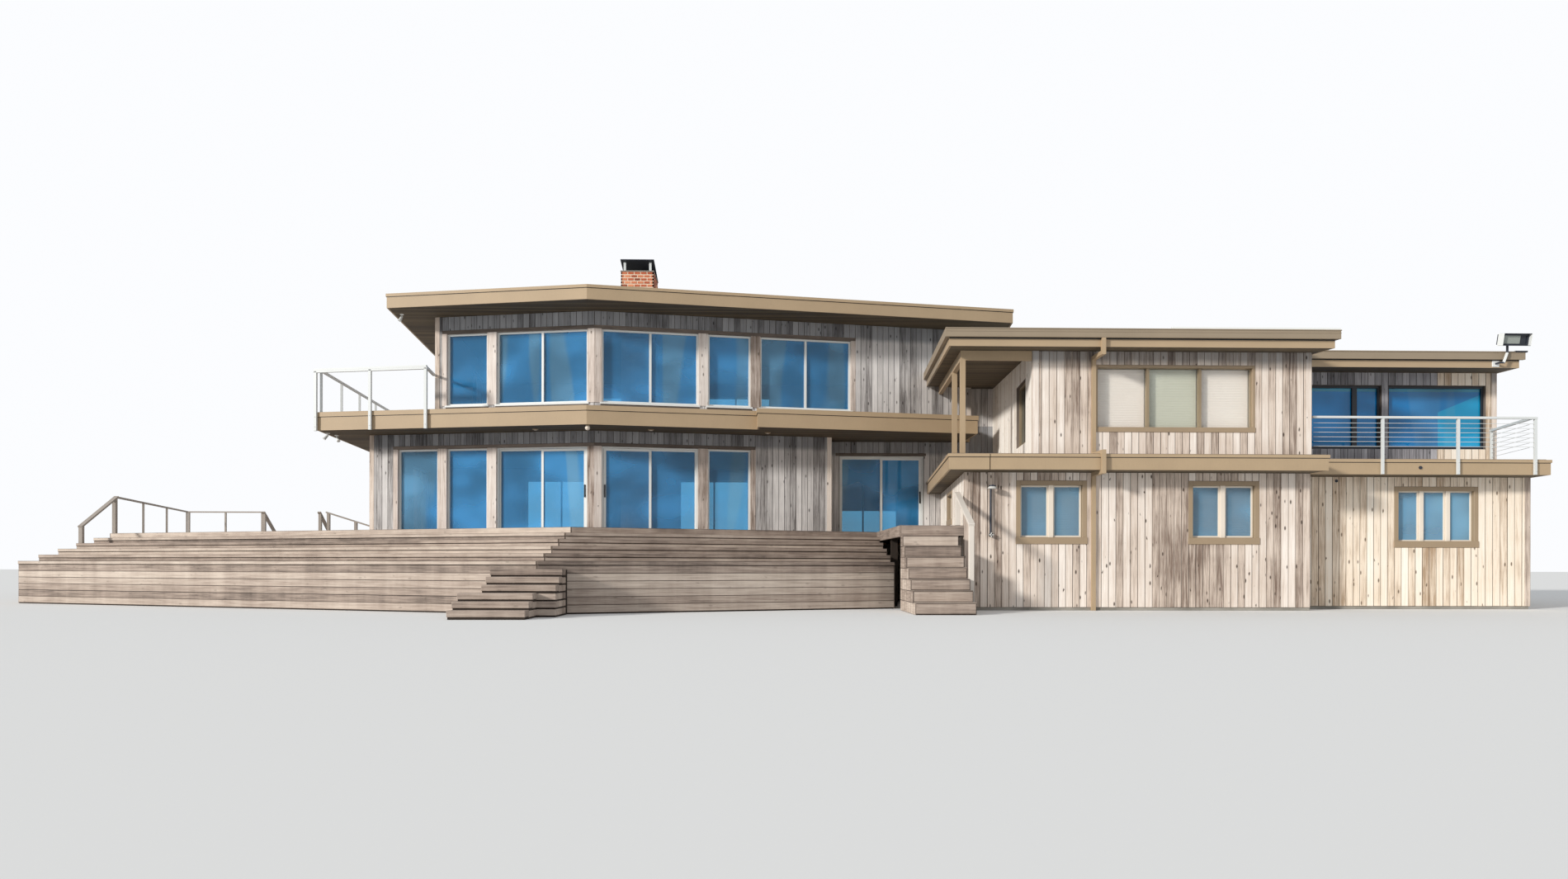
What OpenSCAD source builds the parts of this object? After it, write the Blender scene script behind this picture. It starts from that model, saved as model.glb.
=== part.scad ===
// Beach house: a two-storey pavilion with a bent glazed front, a lower two-storey
// wing beside it with a covered porch and an end balcony, and a stepped timber deck.
// The plan is laid out from the front corner of the pavilion, then moved so that the
// origin is under the middle of the whole house.

/* [Pavilion plan] */
// Angle that each front facet turns back from the straight line
facet_angle = 11.25; // [8:0.25:14]
// Corner to the lower wall's end, along each facet
lower_reach = 5920; // [5700:10:6200]
// Corner to the upper wall's left end
upper_left_reach = 4140; // [4060:10:4600]
// Corner to the upper wall's right end
upper_right_reach = 9700; // [9400:10:9900]
// Depth of the pavilion behind its front corner
pavilion_depth = 10400; // [9000:100:11000]
// Depth of the recessed wall behind the front corner
recess_y = 2080; // [1900:10:2300]
// How far the left end wall splays outward
left_splay = 6.5; // [3:0.5:9]
// Thickness of the outer walls
wall_t = 200; // [150:10:240]

/* [Window bays] */
// Width of the corner post on each side of the corner
corner_post_w = 160; // [140:10:180]
// Width of a two-pane bay or sliding door
wide_bay_w = 2380; // [2200:10:2420]
// Width of a post between two bays
mid_post_w = 220; // [180:10:240]
// Width of a one-pane bay
narrow_bay_w = 1100; // [1000:10:1120]
// Width of a frame's bars
frame_bar = 55; // [40:5:70]

/* [Pavilion levels] */
// Deck and lower floor above the base
deck_z = 1700; // [1600:10:1800]
// Top of the doors and lower windows
lower_head_z = 3790; // [3700:10:3850]
// Underside of the balcony
balcony_z = 4160; // [4100:10:4200]
// Top of the balcony's edge band
balcony_top_z = 4600; // [4500:10:4650]
// Sill of the upper windows
upper_sill_z = 4840; // [4750:10:4900]
// Top of the upper windows
upper_head_z = 6640; // [6500:10:6700]
// Underside of the pavilion roof
roof_z = 7060; // [6950:10:7150]
// Top of the roof's edge
roof_top_z = 7400; // [7300:10:7500]
// How far the roof and balcony reach past the front wall
overhang = 1100; // [900:10:1200]
// How far they reach past the end walls
end_overhang = 690; // [500:10:800]
// How far the balcony's edge reaches past the lower storey's left end
balcony_end = 750; // [600:10:900]

/* [Wing plan] */
// Front wall of the wing, in front of the pavilion's corner
wing_front = 4340; // [4200:10:4500]
// Left end of the wing's front wall
wing_left = 8170; // [8100:10:8300]
// Left end of the wing's upper front wall, beside the porch
porch_right = 9550; // [9450:10:9700]
// Right end of the wing's front wall
wing_right = 15200; // [15000:50:15300]
// Right end of the end block's front wall
end_right = 20300; // [20000:50:20400]
// Front wall of the end block's lower storey
end_front = 3570; // [3450:10:3700]
// Front wall of the end block's upper storey
end_upper_front = 2190; // [2100:10:2300]
// Back wall of the wing, behind the pavilion's corner
wing_back = 4000; // [3700:50:4200]
// How far the wing's left walls splay
wing_splay = 5.6; // [4:0.2:7]
// How far the end block's right wall splays
end_splay = 11; // [8:0.5:15]

/* [Wing levels] */
// Lower floor of the wing
wing_floor_z = 450; // [400:10:550]
// Underside of the wing's upper floor
wing_band_z = 2790; // [2700:10:2820]
// Top of the wing's upper floor and its band
wing_upper_z = 3100; // [3050:10:3150]
// Underside of the wing's roof at its front edge
wing_roof_z = 5210; // [5150:10:5300]
// Top of the gutter at the roof's front edge
gutter_top_z = 5550; // [5500:10:5600]
// Slope of the wing's roofs, rising to the back
roof_pitch = 3; // [1:0.5:4]
// How far the wing's roof and band reach past its front wall
wing_overhang = 600; // [500:10:700]

/* [Deck] */
// Distance from the pavilion's corner to the deck's corner
deck_reach = 3000; // [2800:50:3200]
// Angle of the deck's edges
deck_angle = 22.5; // [20:0.5:25]
// Width of the deck to the left of its corner
deck_left = 13050; // [12000:50:13200]
// Angle that the deck's left side turns outward as it goes back
deck_side_angle = 17; // [10:0.5:20]
// Number of long steps round the deck
tier_n = 5; // [4:1:5]
// Rise of each long step
tier_rise = 150; // [140:5:160]
// Tread of each long step
tier_run = 620; // [500:10:650]

/* [Chimney] */
// Left face of the stack from the pavilion's corner
chimney_x = 230; // [0:10:600]
// Front face of the stack behind the pavilion's corner
chimney_y = 3000; // [2500:50:4000]
// Width of the stack
chimney_w = 870; // [800:10:950]
// Depth of the stack
chimney_d = 1100; // [900:10:1200]
// Top of the brickwork
chimney_top = 8870; // [8600:10:9100]

/* [Sliding doors] */
// Width of the moving panel's stiles and rails
sash_bar = 60; // [50:5:75]
// Gap round each moving panel
door_gap = 7; // [6:1:10]

/* [Hidden] */
cedar = [0.66, 0.60, 0.54];
trim = [0.62, 0.52, 0.39];
soffit = [0.32, 0.26, 0.19];
white = [0.93, 0.92, 0.88];
glass = [0.20, 0.42, 0.62, 0.5];
brick = [0.72, 0.40, 0.32];
dark_metal = [0.12, 0.13, 0.15];
pale_metal = [0.74, 0.75, 0.75];
deck_wood = [0.55, 0.49, 0.43];
concrete = [0.62, 0.61, 0.59];

floor_t = 250;
// Frames, rails and beams stop this much short of the faces that they rest on
seat_gap = 0.1;
band_tier = 110;
band_set = 40;
slab_gap = 40;
tall = 20000;

// Plan points
function facet_point(side, s, out) = [
    side * (s * cos(facet_angle) + out * sin(facet_angle)),
    s * sin(facet_angle) - out * cos(facet_angle)
];
// The corner of the two facets, moved outward
function corner_out(out) = [0, -out / cos(facet_angle)];
// x on a line through [x, y] that splays to the right as it goes back
function splay(x, y, angle, at) = x + (at - y) * tan(angle);
function wing_line(at) = splay(wing_left, -wing_front, wing_splay, at);
// The pavilion and the deck stop just short of the wing's left wall
party_gap = 2;
function party_line(at) = wing_line(at) - party_gap;
function porch_line(at) = splay(porch_right, -wing_front, wing_splay, at);
function end_line(at) = splay(end_right, -end_front, end_splay, at);
upper_right_end = facet_point(1, upper_right_reach, 0);
function upper_line(at) = splay(upper_right_end[0], upper_right_end[1], wing_splay, at);
lower_left_end = facet_point(-1, lower_reach, 0);
lower_right_end = facet_point(1, lower_reach, 0);
upper_left_end = facet_point(-1, upper_left_reach, 0);
function left_line(p, at) = p[0] - (at - p[1]) * tan(left_splay);

// Outlines run anticlockwise, the front first
pavilion_lower = [
    lower_left_end, [0, 0], lower_right_end, [lower_right_end[0], recess_y],
    [party_line(recess_y), recess_y], [party_line(pavilion_depth), pavilion_depth],
    [left_line(lower_left_end, pavilion_depth), pavilion_depth]
];
pavilion_upper = [
    upper_left_end, [0, 0], upper_right_end, [upper_line(pavilion_depth), pavilion_depth],
    [left_line(upper_left_end, pavilion_depth), pavilion_depth]
];
wing_lower = [
    [wing_left, -wing_front], [wing_right, -wing_front], [wing_right, -end_front],
    [end_right, -end_front], [end_line(wing_back), wing_back],
    [wing_line(wing_back), wing_back]
];
wing_upper = [
    [porch_right, -wing_front], [wing_right, -wing_front], [wing_right, -end_upper_front],
    [end_line(-end_upper_front), -end_upper_front], [end_line(wing_back), wing_back],
    [upper_line(wing_back), wing_back], [upper_line(recess_y), recess_y],
    [porch_line(recess_y), recess_y]
];

// Outline moved inward by t: each corner is where its two moved edges meet
function unit(v) = v / norm(v);
function edge_dir(p, i) = unit(p[(i + 1) % len(p)] - p[i]);
function cross2(a, b) = a[0] * b[1] - a[1] * b[0];
function inset(p, t) = [
    for (i = [0:len(p) - 1])
        let (
            a = edge_dir(p, (i + len(p) - 1) % len(p)), b = edge_dir(p, i),
            pa = p[i] + t * [-a[1], a[0]], pb = p[i] + t * [-b[1], b[0]],
            k = cross2(pb - pa, b) / cross2(a, b)
        )
        pa + k * a
];

// The wing's upper floor and band
wing_band_left = wing_left - 440;
band_seam_x = wing_left + 360;
function band_line(at) = splay(wing_band_left, -wing_front - wing_overhang, wing_splay, at);
wing_band_outline = [
    [wing_band_left, -wing_front - wing_overhang], [wing_right + 60, -wing_front - wing_overhang],
    [wing_right + 60, -end_front - wing_overhang],
    [end_line(-end_front - wing_overhang) + 130, -end_front - wing_overhang],
    [end_line(wing_back) + slab_gap, wing_back], [wing_line(wing_back), wing_back],
    [wing_line(recess_y), recess_y], [band_line(recess_y), recess_y]
];
// Origin under the middle of the house
deck_corner = [0, -deck_reach];
deck_front_left = deck_corner + [-deck_left, deck_left * tan(deck_angle)];
deck_side_len = (pavilion_depth - deck_front_left[1]) / cos(deck_side_angle);
deck_along = [-sin(deck_side_angle), cos(deck_side_angle)];
deck_inward = [cos(deck_side_angle), sin(deck_side_angle)];
deck_back_left = deck_front_left + deck_side_len * deck_along;
step_gap = 4;
sand_top_y = -deck_reach - tier_n * tier_run / cos(deck_angle) - step_gap;
sand_run = 290;
sand_n = 6;
stair_run = 250;
stair_n = 8;
stairs_back_y = pavilion_depth + stair_n * stair_run;
roof_back_y = pavilion_depth + end_overhang;
house_x = (deck_back_left[0] + inset(wing_band_outline, -band_set / 2)[4][0]) / 2;
house_y = (sand_top_y - sand_n * sand_run + stairs_back_y) / 2;

module placed() translate([-house_x, -house_y, 0]) children();

// Frame of an outline's edge: X along it, Y inward, Z up
module on_edge(p, i) {
    d = edge_dir(p, i);
    translate([p[i][0], p[i][1], 0]) rotate([0, 0, atan2(d[1], d[0])]) children();
}
// Frame of a front facet, measured from the corner: -1 is the left one, 1 the right one
module on_facet(side) mirror([side < 0 ? 1 : 0, 0, 0]) rotate([0, 0, facet_angle]) children();

module slab(p, z0, z1) translate([0, 0, z0]) linear_extrude(z1 - z0) polygon(p);
module ring(p, t, z0, z1) difference() {
    slab(p, z0, z1);
    slab(inset(p, t), z0 - 1, z1 + 1);
}
// One wall of an outline, mitred to its neighbours
module wall(p, i, z0, z1, t = wall_t) {
    q = inset(p, t);
    j = (i + 1) % len(p);
    slab([p[i], p[j], q[j], q[i]], z0, z1);
}
// A box in a wall's frame that cuts right through it
module hole(x0, x1, z0, z1) translate([x0, -wall_t, z0]) cube([x1 - x0, 3 * wall_t, z1 - z0]);

// Window frame with equal lights, in a wall's frame
module window_frame(x0, x1, z0, z1, lights, bar = frame_bar, y0 = 40, depth = 110) {
    w = x1 - x0;
    light_w = (w - bar * (lights + 1)) / lights;
    difference() {
        translate([x0, y0, z0 + seat_gap]) cube([w, depth, z1 - z0 - seat_gap]);
        for (k = [0:lights - 1])
            translate([x0 + bar + k * (light_w + bar), y0 - 1, z0 + bar])
                cube([light_w, depth + 2, z1 - z0 - 2 * bar]);
    }
}
module window_panes(x0, x1, z0, z1, lights, bar = frame_bar, y0 = 85, t = 20) {
    light_w = (x1 - x0 - bar * (lights + 1)) / lights;
    for (k = [0:lights - 1])
        translate([x0 + bar + k * (light_w + bar), y0, z0 + bar])
            cube([light_w, t, z1 - z0 - 2 * bar]);
}

// Bays along a front facet, measured from the corner
wide_end = corner_post_w + wide_bay_w;
narrow_1 = wide_end + mid_post_w;
narrow_1_end = narrow_1 + narrow_bay_w;
bay_3 = narrow_1_end + mid_post_w;
narrow_3_end = bay_3 + narrow_bay_w;
wide_3_end = bay_3 + wide_bay_w;

// Recessed door, measured along the recessed wall
recess_door = 290;
recess_door_w = 2230;

// Rear windows: along the back walls from their right end
rear_lower = [[900, 3280], [4300, 5400], [6000, 8380], [11200, 13580]];
rear_upper = [[900, 3280], [6000, 8380], [10900, 12000]];
// Window in each of the pavilion's left walls
side_bay = 3000;

wing_floor_t = 200;
module foundation_walls() color(concrete) placed() {
    ring(pavilion_lower, wall_t, 0, deck_z - floor_t);
    ring(wing_lower, wall_t, 0, wing_floor_z - wing_floor_t);
    chimney_shaft(0, deck_z - floor_t);
}

module chimney_shaft(z0, z1) translate([chimney_x, chimney_y, z0])
    cube([chimney_w, chimney_d, z1 - z0]);

module pavilion_floor() color(deck_wood) placed()
    slab(pavilion_lower, deck_z - floor_t, deck_z);

module corner_post() color(cedar) placed() intersection() {
    union() {
        wall(pavilion_lower, 0, deck_z, balcony_z);
        wall(pavilion_lower, 1, deck_z, balcony_z);
    }
    union() for (side = [-1, 1]) on_facet(side)
        translate([0, -wall_t, deck_z - 1]) cube([corner_post_w, 3 * wall_t, balcony_z]);
}

module door_heads() color(cedar) placed() {
    for (side = [-1, 1]) on_facet(side) translate([corner_post_w, 0, lower_head_z])
        cube([wide_bay_w, wall_t, balcony_z - lower_head_z]);
    on_edge(pavilion_lower, 3) translate([recess_door, 0, lower_head_z])
        cube([recess_door_w, wall_t, balcony_z - lower_head_z]);
}

module left_facet_wall() color(cedar) placed() difference() {
    wall(pavilion_lower, 0, deck_z, balcony_z);
    on_facet(-1) {
        hole(-wall_t, wide_end, 0, tall);
        hole(narrow_1, narrow_1_end, deck_z, lower_head_z);
        hole(bay_3, narrow_3_end, deck_z, lower_head_z);
    }
}

module right_facet_wall() color(cedar) placed() difference() {
    wall(pavilion_lower, 1, deck_z, balcony_z);
    on_facet(1) {
        hole(-wall_t, wide_end, 0, tall);
        hole(narrow_1, narrow_1_end, deck_z, lower_head_z);
    }
}

module recess_walls() color(cedar) placed() difference() {
    union() {
        wall(pavilion_lower, 2, deck_z, balcony_z);
        wall(pavilion_lower, 3, deck_z, balcony_z);
    }
    on_edge(pavilion_lower, 3) hole(recess_door, recess_door + recess_door_w, 0, tall);
}

module pavilion_end_walls() color(cedar) placed() {
    wall(pavilion_lower, 4, deck_z, balcony_z);
    difference() {
        wall(pavilion_lower, 6, deck_z, balcony_z);
        on_edge(pavilion_lower, 6) hole(side_bay, side_bay + wide_bay_w, deck_z, lower_head_z);
    }
}

module pavilion_back_wall() color(cedar) placed() difference() {
    wall(pavilion_lower, 5, deck_z, balcony_z);
    on_edge(pavilion_lower, 5) for (w = rear_lower) hole(w[0], w[1], deck_z, lower_head_z);
}

// The balcony's outline: past both facets and the left end, up to the recess at the right
band_left = facet_point(-1, lower_reach + balcony_end, overhang);
// Right of the last narrow window the balcony's front steps forward
band_step = 450;
band_step_at = 3800;
band_right = facet_point(1, upper_right_reach - 438, overhang + band_step);
balcony_outline = [
    band_left, corner_out(overhang), facet_point(1, band_step_at, overhang),
    facet_point(1, band_step_at - 70, overhang + band_step), band_right,
    [band_right[0], upper_right_end[1]], upper_right_end,
    [upper_line(pavilion_depth), pavilion_depth],
    [left_line(band_left, pavilion_depth), pavilion_depth]
];
module pavilion_upper_floor() color(soffit) placed() difference() {
    slab(inset(balcony_outline, band_set), balcony_z, balcony_top_z);
    chimney_shaft(balcony_z - 1, balcony_top_z + 1);
}

module balcony_band() color(trim) placed() {
    difference() {
        slab(balcony_outline, balcony_z, balcony_top_z - band_tier);
        slab(inset(balcony_outline, band_set), 0, tall);
    }
    difference() {
        slab(inset(balcony_outline, -band_set / 2), balcony_top_z - band_tier, balcony_top_z);
        slab(inset(balcony_outline, band_set), 0, tall);
        slab(wing_upper, 0, tall);
    }
}

upper_z = balcony_top_z;
module upper_left_wall() color(cedar) placed() difference() {
    wall(pavilion_upper, 0, upper_z, roof_z);
    on_facet(-1) {
        hole(corner_post_w, wide_end, upper_sill_z, upper_head_z);
        hole(narrow_1, narrow_1_end, upper_sill_z, upper_head_z);
    }
}
module upper_right_wall() color(cedar) placed() difference() {
    wall(pavilion_upper, 1, upper_z, roof_z);
    on_facet(1) {
        hole(corner_post_w, wide_end, upper_sill_z, upper_head_z);
        hole(narrow_1, narrow_1_end, upper_sill_z, upper_head_z);
        hole(bay_3, wide_3_end, upper_sill_z, upper_head_z);
    }
}
module upper_end_walls() color(cedar) placed() {
    wall(pavilion_upper, 2, upper_z, roof_z);
    difference() {
        wall(pavilion_upper, 4, upper_z, roof_z);
        on_edge(pavilion_upper, 4) hole(side_bay, side_bay + wide_bay_w, upper_z, upper_head_z);
    }
}
module upper_back_wall() color(cedar) placed() difference() {
    wall(pavilion_upper, 3, upper_z, roof_z);
    on_edge(pavilion_upper, 3) for (w = rear_upper) hole(w[0], w[1], upper_sill_z, upper_head_z);
}

roof_left = facet_point(-1, upper_left_reach + end_overhang, overhang);
roof_right = facet_point(1, upper_right_reach + 700, overhang);
roof_outline = [
    roof_left, corner_out(overhang), roof_right,
    [splay(roof_right[0], roof_right[1], wing_splay, roof_back_y), roof_back_y],
    [left_line(roof_left, roof_back_y), roof_back_y]
];
coping_t = 70;
module pavilion_roof() color(soffit) placed() difference() {
    slab(inset(roof_outline, band_set), roof_z, roof_top_z - coping_t);
    chimney_shaft(roof_z - 1, roof_top_z);
}
module roof_edge() color(trim) placed() {
    difference() {
        slab(roof_outline, roof_z, roof_top_z - coping_t);
        slab(inset(roof_outline, band_set), 0, tall);
    }
    difference() {
        slab(inset(roof_outline, -band_set / 2), roof_top_z - coping_t, roof_top_z);
        slab(inset(roof_outline, 3 * band_set), 0, tall);
    }
}

module chimney_stack() color(brick) placed() difference() {
    chimney_shaft(deck_z, chimney_top);
    translate([chimney_x + 200, chimney_y + 200, chimney_top - 1200])
        cube([chimney_w - 400, chimney_d - 400, 1300]);
}
// Sheet cap: high at the front on two flat posts, low at the back
cap_rise = 300;
cap_side = 20;
cap_front = 40;
cap_len = 1180;
cap_t = 25;
cap_pitch = atan2(cap_rise, cap_len);
module cap_place() translate([chimney_x - cap_side, chimney_y - cap_front, chimney_top + cap_rise])
    rotate([-cap_pitch, 0, 0]) children();
module chimney_cap() color(dark_metal) placed() {
    cap_w = chimney_w + 2 * cap_side;
    post_w = 60;
    post_t = 15;
    cap_place() cube([cap_w, cap_len / cos(cap_pitch), cap_t]);
    intersection() {
        for (x = [post_w, chimney_w - 2 * post_w], y = [post_w, chimney_d - post_w])
            translate([chimney_x + x, chimney_y + y, chimney_top]) cube([post_w, post_t, 2 * cap_rise]);
        cap_place() translate([0, 0, -tall]) cube([cap_w, tall, tall]);
    }
}

// Sliding door: outer frame with a fixed sash on the inner track
door_panel_y = 40;
door_panel_t = 40;
door_fixed_y = 95;
module door_frame(x0, w, mirrored) translate([x0, 0, 0]) {
    z0 = deck_z;
    h = lower_head_z - deck_z;
    half = w / 2;
    difference() {
        translate([0, 20, z0 + seat_gap]) cube([w, 130, h - seat_gap]);
        translate([frame_bar, 0, z0 + frame_bar - 15]) cube([w - 2 * frame_bar, 200, h - 2 * frame_bar + 30]);
    }
    difference() {
        translate([mirrored ? frame_bar : half - sash_bar / 2, door_fixed_y, z0 + frame_bar - 15])
            cube([half - frame_bar + sash_bar / 2, 40, h - 2 * frame_bar + 30]);
        translate([mirrored ? frame_bar + sash_bar / 2 : half + sash_bar / 2, 0, z0 + frame_bar + 30])
            cube([half - frame_bar - sash_bar, 200, h - 2 * frame_bar - 60]);
    }
}
module door_fixed_glass(x0, w, mirrored) translate([x0, 0, 0]) {
    half = w / 2;
    h = lower_head_z - deck_z;
    translate([mirrored ? frame_bar + sash_bar / 2 : half + sash_bar / 2, door_fixed_y + 12,
               deck_z + frame_bar + 30])
        cube([half - frame_bar - sash_bar, 16, h - 2 * frame_bar - 60]);
}
// Moving panel on the outer track, with its pull at the closing edge
module door_panel(x0, w, mirrored) {
    half = w / 2;
    panel_w = half - frame_bar + sash_bar / 2 - door_gap;
    z0 = deck_z + frame_bar - 15 + door_gap;
    h = lower_head_z - deck_z - 2 * frame_bar + 30 - 2 * door_gap;
    px = mirrored ? x0 + w - frame_bar - door_gap - panel_w : x0 + frame_bar + door_gap;
    pull_x = mirrored ? px + panel_w - sash_bar + 15 : px + 15;
    difference() {
        translate([px, door_panel_y, z0]) cube([panel_w, door_panel_t, h]);
        translate([px + sash_bar, 0, z0 + sash_bar]) cube([panel_w - 2 * sash_bar, 200, h - 2 * sash_bar]);
    }
    translate([pull_x, door_panel_y - 30, deck_z + 850]) cube([30, 12, 300]);
    for (z = [870, 1110])
        translate([pull_x, door_panel_y - 18, deck_z + z]) cube([30, 18, 30]);
}
module door_panel_glass(x0, w, mirrored) {
    half = w / 2;
    panel_w = half - frame_bar + sash_bar / 2 - door_gap;
    z0 = deck_z + frame_bar - 15 + door_gap;
    h = lower_head_z - deck_z - 2 * frame_bar + 30 - 2 * door_gap;
    px = mirrored ? x0 + w - frame_bar - door_gap - panel_w : x0 + frame_bar + door_gap;
    translate([px + sash_bar, door_panel_y + 12, z0 + sash_bar])
        cube([panel_w - 2 * sash_bar, 16, h - 2 * sash_bar]);
}

module pavilion_frames() color(white) placed() {
    for (side = [-1, 1]) on_facet(side) {
        window_frame(narrow_1, narrow_1_end, deck_z, lower_head_z, 1);
        window_frame(corner_post_w, wide_end, upper_sill_z, upper_head_z, 2);
        window_frame(narrow_1, narrow_1_end, upper_sill_z, upper_head_z, 1);
    }
    on_facet(-1) window_frame(bay_3, narrow_3_end, deck_z, lower_head_z, 1);
    on_facet(1) window_frame(bay_3, wide_3_end, upper_sill_z, upper_head_z, 2);
    on_edge(pavilion_lower, 5) for (w = rear_lower)
        window_frame(w[0], w[1], deck_z, lower_head_z, w[1] - w[0] > 2000 ? 2 : 1);
    on_edge(pavilion_upper, 3) for (w = rear_upper)
        window_frame(w[0], w[1], upper_sill_z, upper_head_z, w[1] - w[0] > 2000 ? 2 : 1);
    on_edge(pavilion_lower, 6) window_frame(side_bay, side_bay + wide_bay_w, deck_z, lower_head_z, 2);
    on_edge(pavilion_upper, 4) window_frame(side_bay, side_bay + wide_bay_w, upper_z, upper_head_z, 2);
}
module door_frames() color(white) placed() {
    for (side = [-1, 1]) on_facet(side) door_frame(corner_post_w, wide_bay_w, false);
    on_edge(pavilion_lower, 3) door_frame(recess_door, recess_door_w, true);
}
module pavilion_glass() color(glass) placed() {
    for (side = [-1, 1]) on_facet(side) {
        door_fixed_glass(corner_post_w, wide_bay_w, false);
        window_panes(narrow_1, narrow_1_end, deck_z, lower_head_z, 1);
        window_panes(corner_post_w, wide_end, upper_sill_z, upper_head_z, 2);
        window_panes(narrow_1, narrow_1_end, upper_sill_z, upper_head_z, 1);
    }
    on_facet(-1) window_panes(bay_3, narrow_3_end, deck_z, lower_head_z, 1);
    on_facet(1) window_panes(bay_3, wide_3_end, upper_sill_z, upper_head_z, 2);
    on_edge(pavilion_lower, 3) door_fixed_glass(recess_door, recess_door_w, true);
    on_edge(pavilion_lower, 5) for (w = rear_lower)
        window_panes(w[0], w[1], deck_z, lower_head_z, w[1] - w[0] > 2000 ? 2 : 1);
    on_edge(pavilion_upper, 3) for (w = rear_upper)
        window_panes(w[0], w[1], upper_sill_z, upper_head_z, w[1] - w[0] > 2000 ? 2 : 1);
    on_edge(pavilion_lower, 6) window_panes(side_bay, side_bay + wide_bay_w, deck_z, lower_head_z, 2);
    on_edge(pavilion_upper, 4) window_panes(side_bay, side_bay + wide_bay_w, upper_z, upper_head_z, 2);
}
module door_1_panel() color(white) placed() on_facet(-1) door_panel(corner_post_w, wide_bay_w, false);
module door_2_panel() color(white) placed() on_facet(1) door_panel(corner_post_w, wide_bay_w, false);
module door_3_panel() color(white) placed() on_edge(pavilion_lower, 3)
    door_panel(recess_door, recess_door_w, true);
module door_1_glass() color(glass) placed() on_facet(-1) door_panel_glass(corner_post_w, wide_bay_w, false);
module door_2_glass() color(glass) placed() on_facet(1) door_panel_glass(corner_post_w, wide_bay_w, false);
module door_3_glass() color(glass) placed() on_edge(pavilion_lower, 3)
    door_panel_glass(recess_door, recess_door_w, true);

// Railing along a straight line: posts, a top rail and taut wires
rail_post = 50;
rail_h = 1000;
wire_n = 6;
wire_r = 5;
wire_gap = 140;
rail_t = 45;
function spaced(n, run) = [for (k = [0:n - 1]) k * (run - rail_post) / (n - 1)];
module rail_run(p, q, post_z, top_z, places, wires = wire_n, gap = wire_gap) {
    d = q - p;
    run = norm(d);
    translate([p[0], p[1], 0]) rotate([0, 0, atan2(d[1], d[0])]) {
        for (x = places)
            translate([x, 0, post_z]) cube([rail_post, rail_post, top_z - post_z]);
        translate([0, -10, top_z]) cube([run, rail_post + 20, rail_t]);
        if (wires > 0) for (k = [1:wires])
            translate([rail_post / 2, rail_post / 2, top_z - k * gap])
                rotate([0, 90, 0]) cylinder(h = run - rail_post, r = wire_r, $fn = 8);
    }
}

module balcony_railing() color(pale_metal) placed() {
    out = overhang + band_set / 2 + rail_post;
    front_end = facet_point(-1, upper_left_reach - 380, out);
    front_start = facet_point(-1, lower_reach + balcony_end + 30, out);
    side_front = front_start + [90, 110];
    side_back = [left_line(band_left, pavilion_depth) + 100, pavilion_depth - rail_post];
    top = balcony_top_z + rail_h;
    rail_run(front_start, front_end, balcony_z, top, spaced(3, norm(front_end - front_start)), 0);
    rail_run(side_back, side_front, balcony_top_z + seat_gap, top, spaced(7, norm(side_front - side_back)), 0);
    rail_run(front_end + [-20, 90], upper_left_end + [-rail_post / 2, -10], balcony_top_z, top, [], 0);
}

// Deck
deck_t = 200;
wing_walk = 1300;
function deck_edge(x) = -deck_reach + abs(x) * tan(deck_angle);
walk_left = wing_line(-wing_front) - wing_walk;
deck_outline = [
    deck_front_left, deck_corner, [walk_left, deck_edge(walk_left)],
    [walk_left, -wing_front], [party_line(-wing_front), -wing_front], [party_line(recess_y), recess_y],
    [lower_right_end[0], recess_y], lower_right_end, [0, 0], lower_left_end,
    [left_line(lower_left_end, pavilion_depth), pavilion_depth], deck_back_left
];
module deck_platform() color(deck_wood) placed() slab(deck_outline, deck_z - deck_t, deck_z);
deck_post = 140;
module deck_post_at(x, y) translate([x, y, 0]) cube([deck_post, deck_post, deck_z - deck_t]);
module deck_posts() color(deck_wood) placed() {
    for (x = [-14400:2200:-7800], y = [3200:2300:10200])
        if (x < left_line(lower_left_end, y) - 2 * deck_post
            && x > deck_front_left[0] - (y - deck_front_left[1]) * tan(deck_side_angle) + deck_post)
            deck_post_at(x, y);
    for (x = [-12600:2100:6300])
        deck_post_at(x, deck_edge(x) + 4 * deck_post);
    for (x = [walk_left + 60, wing_left - 3 * deck_post], y = [-wing_front + 60, -2300])
        deck_post_at(x, y);
}

// Long steps bent round the deck's corner, each one standing on the base
tiers_right = walk_left - slab_gap;
function tier_face(x, k) = deck_edge(x) - k * tier_run / cos(deck_angle);
module deck_steps() color(deck_wood) placed() for (k = [1:tier_n]) slab([
    [-deck_left, tier_face(-deck_left, k)], [0, tier_face(0, k)], [tiers_right, tier_face(tiers_right, k)],
    [tiers_right, tier_face(tiers_right, k - 1) - step_gap], [0, tier_face(0, k - 1) - step_gap],
    [-deck_left, tier_face(-deck_left, k - 1) - step_gap]
], 0, deck_z - k * tier_rise);
// Straight flight going down along X, each step standing on the base
module flight(n, rise, run, w) for (k = [1:n])
    translate([(k - 1) * run + step_gap, 0, 0]) cube([run - step_gap, w, (n + 1 - k) * rise]);

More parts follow.
